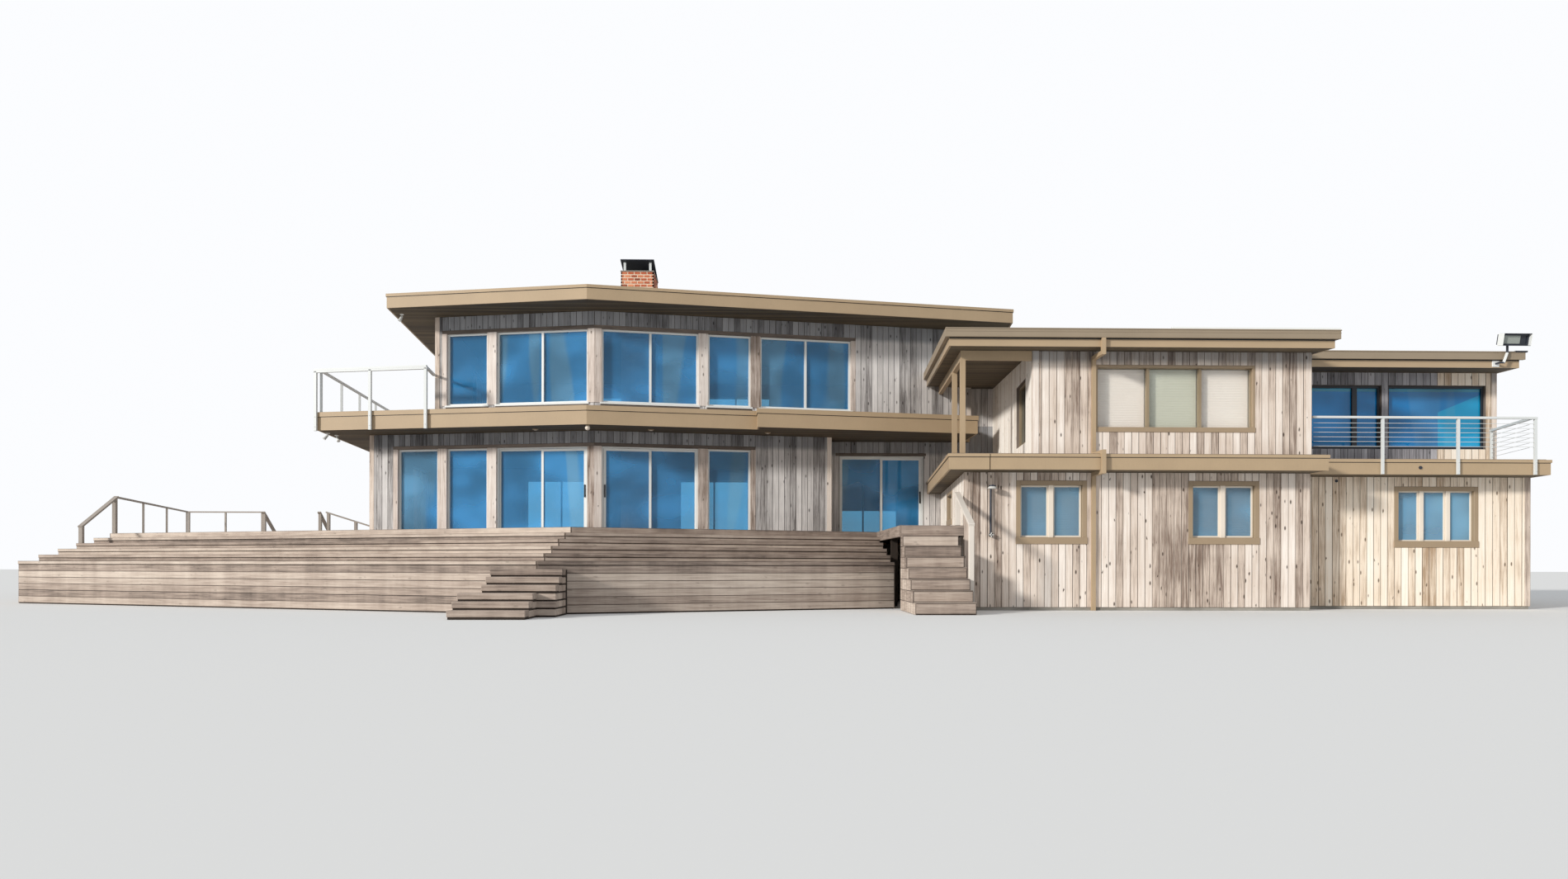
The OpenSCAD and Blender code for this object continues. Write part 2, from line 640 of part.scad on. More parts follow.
// Steps down to the sand: the lower ones are set to the left, the top one follows the bend
sand_w = 1260;
sand_upper_x = -750;
sand_lower_x = -1080;
sand_upper_n = 3;
module sand_steps() color(deck_wood) placed() {
    rise = (deck_z - tier_n * tier_rise) / (sand_n + 1);
    sand_right_x = sand_upper_x + sand_w;
    slab([
        [sand_upper_x, sand_top_y - sand_run], [sand_right_x, sand_top_y - sand_run],
        [sand_right_x, tier_face(sand_right_x, tier_n) - step_gap], [0, sand_top_y],
        [sand_upper_x, tier_face(sand_upper_x, tier_n) - step_gap]
    ], 0, sand_n * rise);
    for (k = [2:sand_n])
        translate([k > sand_upper_n ? sand_lower_x : sand_upper_x, sand_top_y - k * sand_run, 0])
            cube([sand_w, sand_run - step_gap, (sand_n + 1 - k) * rise]);
}

// Handrail sloping along Y on posts, each stated by its y and its foot
guard_post = 90;
guard_lip = 10;
module hand_rail(x, y0, z0, y1, z1, posts) {
    angle = atan2(z1 - z0, y1 - y0);
    translate([x - guard_lip, y0, z0]) rotate([angle, 0, 0]) translate([0, 0, -rail_t])
        cube([guard_post + 2 * guard_lip, (y1 - y0) / cos(angle), rail_t]);
    intersection() {
        for (p = posts) translate([x, p[0], p[1]]) cube([guard_post, guard_post, tall]);
        translate([x - guard_post, y0, z0]) rotate([angle, 0, 0])
            translate([0, -tall, -rail_t / 2 - tall]) cube([3 * guard_post, 2 * tall, tall]);
    }
}

guard_top = deck_z + rail_h;
// The flight behind the deck
stairs_x = -12780;
stairs_w = 1750;
module deck_railing() color(deck_wood) placed() {
    edge = 20;
    post_in = guard_lip + edge;
    side_front = deck_front_left + edge * deck_inward + 2 * guard_post * deck_along;
    side_back = deck_back_left + edge * deck_inward - 2 * guard_post * deck_along;
    back_y = pavilion_depth - edge - rail_post;
    back_left = [deck_back_left[0] + 4 * edge, back_y];
    back_right = [stairs_x - guard_post - 2 * edge, back_y];
    top = guard_top - rail_t;
    rail_run(side_back, side_front, deck_z, top, spaced(4, norm(side_front - side_back)), 0);
    rail_run(back_left, back_right, deck_z, top, spaced(3, back_right[0] - back_left[0]), 0);
    // Corner post and the rail down beside the long steps
    corner_x = -deck_left + edge;
    corner_y = deck_edge(corner_x);
    low_y = tier_face(corner_x, 2) + edge;
    mirror([0, 1, 0])
        hand_rail(corner_x, -corner_y - guard_post - post_in, guard_top, -low_y + edge, guard_top - 850,
                  [[-corner_y - guard_post - edge / 2, deck_z], [-low_y - guard_post, deck_z - 2 * tier_rise]]);
    // Both rails of the flight behind the deck
    for (x = [stairs_x - guard_post - edge, stairs_x + stairs_w + edge])
        hand_rail(x, pavilion_depth - guard_post - 2 * post_in, guard_top, stairs_back_y, rail_h,
                  [[pavilion_depth - guard_post - post_in, deck_z], [stairs_back_y - guard_post - post_in, 0]]);
    // Low rail from the flight toward the house
    low_run = 1900;
    translate([stairs_x + stairs_w + 3 * guard_post, pavilion_depth - edge, 0]) rotate([0, 0, -90])
        hand_rail(0, 0, guard_top, low_run, guard_top - 600,
                  [[post_in, deck_z], [low_run / 2, deck_z], [low_run - guard_post - post_in, deck_z]]);
}
module deck_stairs() color(deck_wood) placed()
    translate([stairs_x + stairs_w, pavilion_depth, 0]) rotate([0, 0, 90])
        flight(stair_n, deck_z / (stair_n + 1), stair_run, stairs_w);
// Flight in front of the walk beside the wing, with a handrail on its right
side_n = 7;
side_run = 290;
side_w = 1100;
module side_steps() color(deck_wood) placed() {
    translate([walk_left, -wing_front, 0]) rotate([0, 0, -90])
        flight(side_n, deck_z / (side_n + 1), side_run, side_w);
    rail_start = wing_front - guard_post - 4 * guard_lip;
    rail_end = wing_front + 1360;
    mirror([0, 1, 0])
        hand_rail(walk_left + side_w + guard_lip + step_gap, rail_start, 2400, rail_end, 1690,
                  [[rail_start + guard_lip, deck_z], [rail_end - guard_post - 2 * guard_lip, 0]]);
}

module wing_floor() color(concrete) placed()
    slab(wing_lower, wing_floor_z - wing_floor_t, wing_floor_z);

// Windows of the wing, measured in each wall's frame
lower_sill = 1390;
lower_head = 2620;
wing_windows = [[1030, 2460], [4540, 5980]];
end_window = [2210, 4000];
end_lower_sill = 1350;
end_lower_head = 2580;
side_sill = 1900;
side_head = 2650;
upper_window = [1250, 4510];
upper_sill = 3660;
upper_head = 4965;
porch_window = [4270, 5560];
porch_sill = 3510;
porch_head = 4850;
end_left_unit = [150, 2770];
end_left_split = 2190;
end_right_unit = [2920, 5140];
end_sill = 3540;

module wing_front_wall() color(cedar) placed() difference() {
    wall(wing_lower, 0, wing_floor_z, wing_band_z);
    on_edge(wing_lower, 0) for (w = wing_windows) hole(w[0], w[1], lower_sill, lower_head);
}
module end_front_wall() color(cedar) placed() difference() {
    union() {
        wall(wing_lower, 1, wing_floor_z, wing_band_z);
        wall(wing_lower, 2, wing_floor_z, wing_band_z);
    }
    on_edge(wing_lower, 2) hole(end_window[0], end_window[1], end_lower_sill, end_lower_head);
}
side_len = (wing_back + wing_front) / cos(wing_splay);
// Window in the wing's left wall, measured from the wall's back end
side_window = [side_len - 4300, side_len - 2900];
module wing_end_walls() color(cedar) placed() {
    difference() {
        wall(wing_lower, 5, wing_floor_z, wing_band_z);
        on_edge(wing_lower, 5) hole(side_window[0], side_window[1], side_sill, side_head);
    }
    wall(wing_lower, 3, wing_floor_z, wing_band_z);
}
wing_rear = [[1500, 2930], [5000, 6430], [8600, 10030]];
module wing_back_wall() color(cedar) placed() difference() {
    wall(wing_lower, 4, wing_floor_z, wing_band_z);
    on_edge(wing_lower, 4) for (w = wing_rear) hole(w[0], w[1], lower_sill, lower_head);
}

module wing_upper_floor() color(soffit) placed()
    slab(inset(wing_band_outline, band_set), wing_band_z, wing_upper_z);
module wing_band() color(trim) placed() difference() {
    union() {
        slab(wing_band_outline, wing_band_z, wing_upper_z - 60);
        slab(inset(wing_band_outline, -band_set / 2), wing_upper_z - 60, wing_upper_z);
    }
    slab(inset(wing_band_outline, band_set), 0, tall);
    slab(pavilion_lower, 0, tall);
    translate([band_seam_x, -wing_front - 2 * wing_overhang, 0]) cube([20, 2 * wing_overhang, tall]);
}

wall_top = 6500;
// Everything below the wing's pitched roof, and the pitched roof layers themselves
module below_pitch(edge_y, z) translate([0, edge_y, z]) rotate([roof_pitch, 0, 0])
    translate([-2 * tall, -2 * tall, -tall]) cube([4 * tall, 4 * tall, tall]);
module pitched(p, edge_y, z0, z1) intersection() {
    slab(p, 0, tall);
    translate([0, edge_y, z0]) rotate([roof_pitch, 0, 0])
        translate([-2 * tall, -2 * tall, 0]) cube([4 * tall, 4 * tall, (z1 - z0) * cos(roof_pitch)]);
}
module below_wing_roof() intersection() {
    children();
    below_pitch(-wing_front - wing_overhang, wing_roof_z);
}
end_roof_edge_y = -end_upper_front - 860;
module below_end_roof() intersection() {
    children();
    below_pitch(end_roof_edge_y, wing_roof_z);
}
// Below the wing's roof left of the roofs' joint, and below the end block's roof right of it
roof_joint_x = wing_right + 240;
module below_both_roofs() {
    intersection() {
        below_wing_roof() children();
        translate([-tall, -tall, 0]) cube([tall + roof_joint_x, 2 * tall, tall]);
    }
    intersection() {
        below_end_roof() children();
        translate([roof_joint_x, -tall, 0]) cube([tall, 2 * tall, tall]);
    }
}

module wing_upper_front_wall() color(cedar) placed() below_wing_roof() difference() {
    wall(wing_upper, 0, wing_upper_z, wall_top);
    on_edge(wing_upper, 0) hole(upper_window[0], upper_window[1], upper_sill, upper_head);
}
module end_upper_front_wall() color(cedar) placed() below_both_roofs() difference() {
    wall(wing_upper, 2, wing_upper_z, wall_top);
    on_edge(wing_upper, 2) {
        hole(end_left_unit[0], end_left_unit[1], end_sill, upper_head);
        hole(end_right_unit[0], end_right_unit[1], end_sill, upper_head);
    }
}
module wing_upper_end_walls() color(cedar) placed() {
    below_wing_roof() wall(wing_upper, 1, wing_upper_z, wall_top);
    below_end_roof() wall(wing_upper, 3, wing_upper_z, wall_top);
    below_wing_roof() wall(wing_upper, 5, wing_upper_z, balcony_z);
}
module wing_upper_back_wall() color(cedar) placed() below_both_roofs() difference() {
    wall(wing_upper, 4, wing_upper_z, wall_top);
    on_edge(wing_upper, 4) for (w = wing_rear) hole(w[0], w[1], upper_sill, upper_head);
}
module porch_side_wall() color(cedar) placed() below_wing_roof() difference() {
    wall(wing_upper, 7, wing_upper_z, wall_top);
    on_edge(wing_upper, 7) hole(porch_window[0], porch_window[1], porch_sill, porch_head);
}
module porch_back_wall() color(cedar) placed() {
    below_wing_roof() wall(wing_upper, 6, wing_upper_z, wall_top);
    inner = recess_y + wall_t;
    slab([
        [wing_line(recess_y), recess_y], [upper_line(recess_y), recess_y],
        [upper_line(inner), inner], [wing_line(inner), inner]
    ], wing_upper_z, balcony_z);
}

// Porch posts carry a beam along the front and another along the open left side
porch_beam_z = 5020;
porch_post = 100;
porch_second_y = -2500;
porch_beam_outline = [
    [wing_left - porch_post, -wing_front], [porch_right, -wing_front],
    [porch_right, -wing_front + porch_post], [wing_line(-wing_front + porch_post), -wing_front + porch_post],
    [wing_line(recess_y), recess_y], [wing_line(recess_y) - porch_post, recess_y]
];
module porch_frame() color(trim) placed() {
    intersection() {
        for (y = [-wing_front, porch_second_y])
            translate([wing_line(y) - porch_post, y, wing_upper_z]) cube([porch_post, porch_post, tall]);
        below_pitch(-wing_front - wing_overhang, porch_beam_z);
    }
    difference() {
        pitched(porch_beam_outline, -wing_front - wing_overhang, porch_beam_z, wing_roof_z - seat_gap);
        slab(pavilion_upper, 0, tall);
    }
}

wing_roof_outline = [
    [wing_band_left, -wing_front - wing_overhang], [wing_right + 180, -wing_front - wing_overhang],
    [wing_right + 180, wing_back + 600], [upper_line(wing_back + 600), wing_back + 600],
    upper_right_end, facet_point(1, 8500, 0)
];
fascia_h = 170;
gutter_out = 80;
gutter_t = 12;
// What is hollow in a gutter that hangs on an outline's face
module trough(p, edge_y) difference() {
    pitched(inset(p, gutter_t - gutter_out), edge_y, wing_roof_z + fascia_h + gutter_t, wall_top);
    slab(inset(p, gutter_t / 2), 0, tall);
}
module wing_roof() color(soffit) placed()
    pitched(inset(wing_roof_outline, band_set), -wing_front - wing_overhang, wing_roof_z, gutter_top_z - 60);
module wing_roof_edge() color(trim) placed() difference() {
    union() {
        pitched(wing_roof_outline, -wing_front - wing_overhang, wing_roof_z, wing_roof_z + fascia_h);
        pitched(inset(wing_roof_outline, -gutter_out), -wing_front - wing_overhang,
                wing_roof_z + fascia_h, gutter_top_z);
    }
    slab(inset(wing_roof_outline, band_set), 0, tall);
    slab(pavilion_upper, 0, tall);
    trough(wing_roof_outline, -wing_front - wing_overhang);
}
end_roof_outline = [
    [wing_right + 300, end_roof_edge_y], [end_line(end_roof_edge_y) + 80, end_roof_edge_y],
    [end_line(wing_back) + slab_gap, wing_back], [wing_right + 300, wing_back]
];
module end_roof() color(soffit) placed()
    pitched(inset(end_roof_outline, band_set), end_roof_edge_y, wing_roof_z, gutter_top_z - 60);
// The end block has a gutter on its front only, open at the top and closed at both ends
module end_gutter() {
    left = wing_right + 300 + gutter_t;
    right = end_line(end_roof_edge_y) + 160;
    front = end_roof_edge_y - gutter_out;
    difference() {
        pitched([
            [left, front], [right, front], [right, end_roof_edge_y + gutter_t],
            [left, end_roof_edge_y + gutter_t]
        ], end_roof_edge_y, wing_roof_z + fascia_h, gutter_top_z - gutter_t);
        pitched([
            [left + gutter_t, front + gutter_t], [right - gutter_t, front + gutter_t],
            [right - gutter_t, end_roof_edge_y - gutter_t], [left + gutter_t, end_roof_edge_y - gutter_t]
        ], end_roof_edge_y, wing_roof_z + fascia_h + gutter_t, wall_top);
    }
}
module end_roof_edge() color(trim) placed() {
    difference() {
        pitched(end_roof_outline, end_roof_edge_y, wing_roof_z, gutter_top_z);
        slab(inset(end_roof_outline, band_set), 0, tall);
    }
    end_gutter();
}

// Pipe from the gutter down the upper wall, out over the band and down to the ground
pipe_w = 80;
pipe_x = 10720;
module pipe(y0, y1, z0, z1) translate([pipe_x, y0, z0]) cube([pipe_w, y1 - y0, z1 - z0]);
module downspout() color(trim) placed() {
    wall_y = -wing_front;
    band_y = -wing_front - wing_overhang - band_set / 2;
    gutter_y = -wing_front - wing_overhang - gutter_out;
    under_roof = wing_roof_z - 2 * pipe_w;
    intersection() {
        pipe(gutter_y, gutter_y + pipe_w, under_roof, gutter_top_z);
        below_pitch(-wing_front - wing_overhang, wing_roof_z + fascia_h);
    }
    pipe(gutter_y, wall_y, under_roof, under_roof + pipe_w);
    pipe(wall_y - pipe_w, wall_y, wing_upper_z, under_roof);
    pipe(band_y - pipe_w, wall_y, wing_upper_z, wing_upper_z + pipe_w);
    pipe(band_y - pipe_w, band_y, wing_band_z - pipe_w, wing_upper_z);
    pipe(band_y - pipe_w, wall_y, wing_band_z - pipe_w, wing_band_z);
    pipe(wall_y - pipe_w, wall_y, 0, wing_band_z - pipe_w);
}

module wing_frames() color(trim) placed() {
    on_edge(wing_lower, 0) for (w = wing_windows)
        window_frame(w[0], w[1], lower_sill, lower_head, 2, 90);
    on_edge(wing_lower, 2) window_frame(end_window[0], end_window[1], end_lower_sill, end_lower_head, 3, 80);
    on_edge(wing_lower, 5) window_frame(side_window[0], side_window[1], side_sill, side_head, 1, 90);
    on_edge(wing_upper, 0) window_frame(upper_window[0], upper_window[1], upper_sill, upper_head, 3);
    on_edge(wing_upper, 2) {
        window_frame(end_left_unit[0], end_left_split, end_sill, upper_head, 1);
        window_frame(end_left_split, end_left_unit[1], end_sill, upper_head, 1);
        window_frame(end_right_unit[0], end_right_unit[1], end_sill, upper_head, 1);
    }
    on_edge(wing_upper, 7) window_frame(porch_window[0], porch_window[1], porch_sill, porch_head, 1);
    on_edge(wing_lower, 4) for (w = wing_rear) window_frame(w[0], w[1], lower_sill, lower_head, 2, 90);
    on_edge(wing_upper, 4) for (w = wing_rear) window_frame(w[0], w[1], upper_sill, upper_head, 2, 90);
}
module wing_glass() color(glass) placed() {
    on_edge(wing_lower, 0) for (w = wing_windows)
        window_panes(w[0], w[1], lower_sill, lower_head, 2, 90);
    on_edge(wing_lower, 2) window_panes(end_window[0], end_window[1], end_lower_sill, end_lower_head, 3, 80);
    on_edge(wing_lower, 5) window_panes(side_window[0], side_window[1], side_sill, side_head, 1, 90);
    on_edge(wing_upper, 0) window_panes(upper_window[0], upper_window[1], upper_sill, upper_head, 3);
    on_edge(wing_upper, 2) {
        window_panes(end_left_unit[0], end_left_split, end_sill, upper_head, 1);
        window_panes(end_left_split, end_left_unit[1], end_sill, upper_head, 1);
        window_panes(end_right_unit[0], end_right_unit[1], end_sill, upper_head, 1);
    }
    on_edge(wing_upper, 7) window_panes(porch_window[0], porch_window[1], porch_sill, porch_head, 1);
    on_edge(wing_lower, 4) for (w = wing_rear) window_panes(w[0], w[1], lower_sill, lower_head, 2, 90);
    on_edge(wing_upper, 4) for (w = wing_rear) window_panes(w[0], w[1], upper_sill, upper_head, 2, 90);
}

module end_railing() color(pale_metal) placed() {
    y = -end_front - wing_overhang - band_set / 2 - rail_post;
    left = wing_right + 120;
    right = 19980;
    post_x = [16750 - left, 18320 - left, right - left - rail_post];
    top = wing_upper_z + 830;
    gap = 95;
    rail_run([left, y], [right, y], wing_band_z, top, post_x, wire_n, gap);
    side_front = [right - rail_post, y + 2 * rail_post];
    side_back = [end_line(-end_upper_front) - 2 * rail_post, -end_upper_front - rail_post];
    side_post = [norm(side_back - side_front) - rail_post];
    rail_run(side_front, side_back, wing_upper_z + seat_gap, top, side_post, wire_n, gap);
}
// Lamp on a bent arm in front of the gutter at the end block's roof corner
module floodlight() color(dark_metal) placed() {
    tube = 34;
    plate = [150, 14, 130];
    plate_x = 19880;
    plate_z = wing_roof_z + 20;
    arm_y = end_roof_edge_y - gutter_out - 2 * tube;
    bends = [
        [plate_x + plate[0] / 2, end_roof_edge_y - plate[1] - tube / 4, plate_z + plate[2] / 2],
        [plate_x + plate[0] / 2, arm_y, plate_z + plate[2] / 2],
        [plate_x + 150, arm_y, plate_z + plate[2] / 2],
        [plate_x + 230, arm_y, plate_z + 280],
        [plate_x + 230, arm_y, plate_z + 470]
    ];
    translate([plate_x, end_roof_edge_y - plate[1], plate_z]) cube(plate);
    for (k = [0:len(bends) - 2]) hull() for (b = [bends[k], bends[k + 1]])
        translate(b) cube(tube, center = true);
    // Housing, tilted toward the ground, with a rim round its face
    head = [580, 150, 220];
    rim = 24;
    translate([plate_x + 200, arm_y, plate_z + 560]) rotate([12, 0, 0]) difference() {
        union() {
            translate([-head[0] / 4, -head[1] / 2, -head[2] / 2]) cube(head);
            translate([-head[0] / 4 - rim / 2, -head[1] / 2, -head[2] / 2 - rim / 2])
                cube([head[0] + rim, 2 * rim, head[2] + rim]);
        }
        translate([rim - head[0] / 4, -head[1], rim - head[2] / 2])
            cube([head[0] - 2 * rim, head[1] / 2 + rim, head[2] - 2 * rim]);
    }
}
// Outdoor shower on the wing's front wall
module shower() color(dark_metal) placed() {
    riser_x = 8670;
    riser_r = 14;
    riser_y = -wing_front - 60;
    head_z = 2510;
    valve_z = 1520;
    head_len = 220;
    translate([riser_x, riser_y, valve_z]) cylinder(h = head_z - valve_z, r = riser_r, $fn = 24);
    for (z = [valve_z, head_z - 4 * riser_r])
        translate([riser_x - riser_r, riser_y, z]) cube([2 * riser_r, -wing_front - riser_y, 2 * riser_r]);
    translate([riser_x, riser_y + riser_r, head_z]) rotate([90, 0, 0])
        cylinder(h = head_len, r = riser_r, $fn = 24);
    translate([riser_x, riser_y - head_len + 5 * riser_r, head_z - 4 * riser_r])
        cylinder(h = 4 * riser_r, r = 5 * riser_r, $fn = 32);
    translate([riser_x, riser_y, valve_z]) rotate([90, 0, 0]) cylinder(h = 4 * riser_r, r = 3 * riser_r, $fn = 24);
}

foundation_walls();
pavilion_floor();
corner_post();
door_heads();
left_facet_wall();
right_facet_wall();
recess_walls();
pavilion_end_walls();
pavilion_back_wall();
pavilion_upper_floor();
balcony_band();
upper_left_wall();
upper_right_wall();
upper_end_walls();
upper_back_wall();
pavilion_roof();
roof_edge();
chimney_stack();
chimney_cap();
pavilion_frames();
door_frames();
pavilion_glass();
door_1_panel();
door_1_glass();
door_2_panel();
door_2_glass();
door_3_panel();
door_3_glass();
balcony_railing();
deck_platform();
deck_posts();
deck_steps();
sand_steps();
deck_railing();
deck_stairs();
side_steps();
wing_floor();
wing_front_wall();
end_front_wall();
wing_end_walls();
wing_back_wall();
wing_upper_floor();
wing_band();
wing_upper_front_wall();
end_upper_front_wall();
wing_upper_end_walls();
wing_upper_back_wall();
porch_side_wall();
porch_back_wall();
porch_frame();
wing_roof();
wing_roof_edge();
end_roof();
end_roof_edge();
downspout();
wing_frames();
wing_glass();
end_railing();
floodlight();
shower();
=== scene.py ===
import math
import random

import bmesh
import bpy
from mathutils import Euler, Matrix, Vector


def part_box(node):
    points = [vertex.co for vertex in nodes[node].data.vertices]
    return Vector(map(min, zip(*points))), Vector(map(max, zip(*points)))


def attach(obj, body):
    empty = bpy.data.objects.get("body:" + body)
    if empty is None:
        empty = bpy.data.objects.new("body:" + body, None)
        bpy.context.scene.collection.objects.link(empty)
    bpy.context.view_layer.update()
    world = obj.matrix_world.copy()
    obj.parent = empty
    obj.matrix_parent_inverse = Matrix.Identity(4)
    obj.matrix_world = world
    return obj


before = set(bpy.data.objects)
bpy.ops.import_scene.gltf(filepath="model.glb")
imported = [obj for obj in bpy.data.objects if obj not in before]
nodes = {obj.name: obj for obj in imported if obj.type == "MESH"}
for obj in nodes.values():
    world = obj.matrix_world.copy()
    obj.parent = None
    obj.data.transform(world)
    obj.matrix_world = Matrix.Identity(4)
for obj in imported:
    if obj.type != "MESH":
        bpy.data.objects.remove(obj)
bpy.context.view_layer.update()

# The plan is measured from the foot of the pavilion's front corner, as the frame's own plan is
post_low, post_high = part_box("corner_post")
CORNER = Vector(((post_low.x + post_high.x) / 2, post_low.y, 0))

# The angles of the plan, then its distances and heights in metres
FACET = math.radians(11.25)
LEFT_SPLAY = math.radians(6.5)
WING_SPLAY = math.radians(5.6)
END_SPLAY = math.radians(11)
ROOF_PITCH = math.radians(3)
DECK_ANGLE = math.radians(22.5)
DECK_SIDE = math.radians(17)

LOWER_REACH, UPPER_LEFT, UPPER_RIGHT = 5.92, 4.14, 9.70
PAVILION_BACK, RECESS_Y = 10.4, 2.08
DECK_Z, LOWER_HEAD, BALCONY_Z, BALCONY_TOP = 1.70, 3.79, 4.16, 4.60
UPPER_SILL, UPPER_HEAD, ROOF_Z, ROOF_TOP = 4.84, 6.64, 7.06, 7.40
WING_FRONT, WING_LEFT, PORCH_RIGHT, WING_RIGHT = -4.34, 8.17, 9.55, 15.20
END_FRONT, END_UPPER_FRONT, END_RIGHT, WING_BACK = -3.57, -2.19, 20.30, 4.0
WING_BAND, WING_UPPER, WING_ROOF, GUTTER_TOP = 2.79, 3.10, 5.21, 5.55
WING_EAVES, END_EAVES = -4.94, -3.05
# The wing's roof and bands reach a little past its walls, and gutters hang before its eaves
EAVES_LEFT, EAVES_RIGHT, END_BAND = WING_LEFT - 0.44, WING_RIGHT + 0.18, END_FRONT - 0.6
GUTTER_OUT, GUTTER_FOOT = 0.08, WING_ROOF + 0.17
DECK_REACH, DECK_LEFT = 3.0, 13.05
TIERS, TIER_RISE, TIER_RUN = 5, 0.150, 0.620


def splay(x, y, angle, at):
    """Where a line that leaves x, y at an angle from straight back is, at another depth."""
    return x + (at - y) * math.tan(angle)


def facet_point(side, along, out=0.0):
    """A point along the left (-1) or right (1) front facet, and out before it."""
    return Vector((
        side * (along * math.cos(FACET) + out * math.sin(FACET)),
        along * math.sin(FACET) - out * math.cos(FACET),
    ))


def wing_line(at):
    """The wing's lower left side, at a depth."""
    return splay(WING_LEFT, WING_FRONT, WING_SPLAY, at)


def end_line(at):
    """The end block's right side, at a depth."""
    return splay(END_RIGHT, END_FRONT, END_SPLAY, at)


def upper_line(at):
    """The right side of the pavilion's upper storey, at a depth."""
    end = facet_point(1, UPPER_RIGHT)
    return splay(end.x, end.y, WING_SPLAY, at)


def left_line(point, at):
    """A left side of the pavilion that starts at a point, at another depth."""
    return point.x - (at - point.y) * math.tan(LEFT_SPLAY)


def deck_edge(x):
    """The depth of the deck's front edge."""
    return -DECK_REACH + abs(x) * math.tan(DECK_ANGLE)


class Link:
    """A node's output. Arithmetic on it adds Math nodes to its tree."""

    def __init__(self, finish, socket):
        self.finish, self.socket = finish, socket

    def maths(self, operation, *values):
        return self.finish.add("ShaderNodeMath", {"operation": operation}, dict(enumerate(values)))

    def __add__(self, other):
        return self.maths("ADD", self, other)

    def __radd__(self, other):
        return self.maths("ADD", other, self)

    def __sub__(self, other):
        return self.maths("SUBTRACT", self, other)

    def __rsub__(self, other):
        return self.maths("SUBTRACT", other, self)

    def __mul__(self, other):
        return self.maths("MULTIPLY", self, other)

    def __rmul__(self, other):
        return self.maths("MULTIPLY", other, self)

    def __gt__(self, other):
        return self.maths("GREATER_THAN", self, other)

    def __lt__(self, other):
        return self.maths("LESS_THAN", self, other)

    def over(self, low, high):
        """0 at low, 1 at high, and smooth between them."""
        return self.finish.add(
            "ShaderNodeMapRange", {"interpolation_type": "SMOOTHSTEP", "clamp": True},
            {"Value": self, "From Min": low, "From Max": high},
        )


class Shading:
    """A node tree under construction. Each new node takes values or links, and gives a link."""

    def __init__(self, owner):
        owner.use_nodes = True
        self.tree = owner.node_tree
        self.tree.nodes.clear()

    def put(self, socket, value):
        if isinstance(value, Link):
            self.tree.links.new(value.socket, socket)
        else:
            socket.default_value = value

    def add(self, kind, settings=None, inputs=None, output=0):
        node = self.tree.nodes.new(kind)
        for name, value in (settings or {}).items():
            if name == "stops":
                ramp = node.color_ramp
                while len(ramp.elements) < len(value):
                    ramp.elements.new(0.5)
                for element, (position, colour) in zip(ramp.elements, value):
                    element.position, element.color = position, (*colour, 1)
            else:
                setattr(node, name, value)
        for name, value in (inputs or {}).items():
            self.put(node.inputs[name], value)
        return Link(self, node.outputs[output])

    def ends_in(self, kind, surface):
        self.put(self.tree.nodes.new(kind).inputs["Surface"], surface)


class Finish(Shading):
    """One material: a Principled shader and the nodes that feed it."""

    def __init__(self, name):
        self.material = bpy.data.materials.new(name)
        super().__init__(self.material)
        self.shader = self.tree.nodes.new("ShaderNodeBsdfPrincipled")
        self.ends_in("ShaderNodeOutputMaterial", Link(self, self.shader.outputs[0]))

    def place(self, scale=(1, 1, 1), source="Object"):
        where = self.add("ShaderNodeTexCoord", None, None, source)
        return self.scaled_place(where, scale)

    def scaled_place(self, where, scale):
        return self.add("ShaderNodeMapping", None, {"Vector": where, "Scale": scale})

    def axis(self, vector, name):
        return self.add("ShaderNodeSeparateXYZ", None, {0: vector}, name)

    def noise(self, vector, scale, detail=4.0, roughness=0.55):
        return self.add("ShaderNodeTexNoise", None, {
            "Vector": vector, "Scale": scale, "Detail": detail, "Roughness": roughness,
        })

    def spots(self, vector, scale):
        return self.add("ShaderNodeTexVoronoi", None, {"Vector": vector, "Scale": scale}, "Distance")

    def own(self, name):
        return self.add("ShaderNodeAttribute", {"attribute_name": name}, None, "Fac")

    def ramp(self, value, *stops):
        return self.add("ShaderNodeValToRGB", {"stops": stops}, {"Fac": value})

    def scaled(self, colour, amount):
        return self.add("ShaderNodeVectorMath", {"operation": "SCALE"}, {0: colour, "Scale": amount})

    def seams(self, across, spacing, width):
        """0 on seams that lie a spacing apart, 1 between them."""
        ridge = self.add("ShaderNodeMath", {"operation": "PINGPONG"}, {0: across, 1: spacing / 2})
        return ridge.over(0.0, width)

    def mix(self, factor, first, second, blend="MIX"):
        first, second = (v if isinstance(v, Link) else (*v, 1) for v in (first, second))
        return self.add(
            "ShaderNodeMix", {"data_type": "RGBA", "blend_type": blend}, {0: factor, 6: first, 7: second}, 2
        )

    def set(self, **values):
        for name, value in values.items():
            socket = self.shader.inputs[name.replace("_", " ").title().replace("Ior", "IOR")]
            if isinstance(value, tuple) and len(value) == 3 and socket.type == "RGBA":
                value = (*value, 1)
            self.put(socket, value)
        return self

    def bump(self, height, strength=0.3, distance=0.01):
        self.put(self.shader.inputs["Normal"], self.add(
            "ShaderNodeBump", None, {"Height": height, "Strength": strength, "Distance": distance}
        ))
        return self


def srgb(red, green, blue):
    """A colour as it is seen, in 0 to 255, turned into the linear numbers that a shader takes."""
    return tuple(
        c / 12.92 if c <= 0.04045 else ((c + 0.055) / 1.055) ** 2.4
        for c in (red / 255, green / 255, blue / 255)
    )


# Each board carries its own number from 0 to 1, and the joints beside it a number from here down
JOINT = -1.0


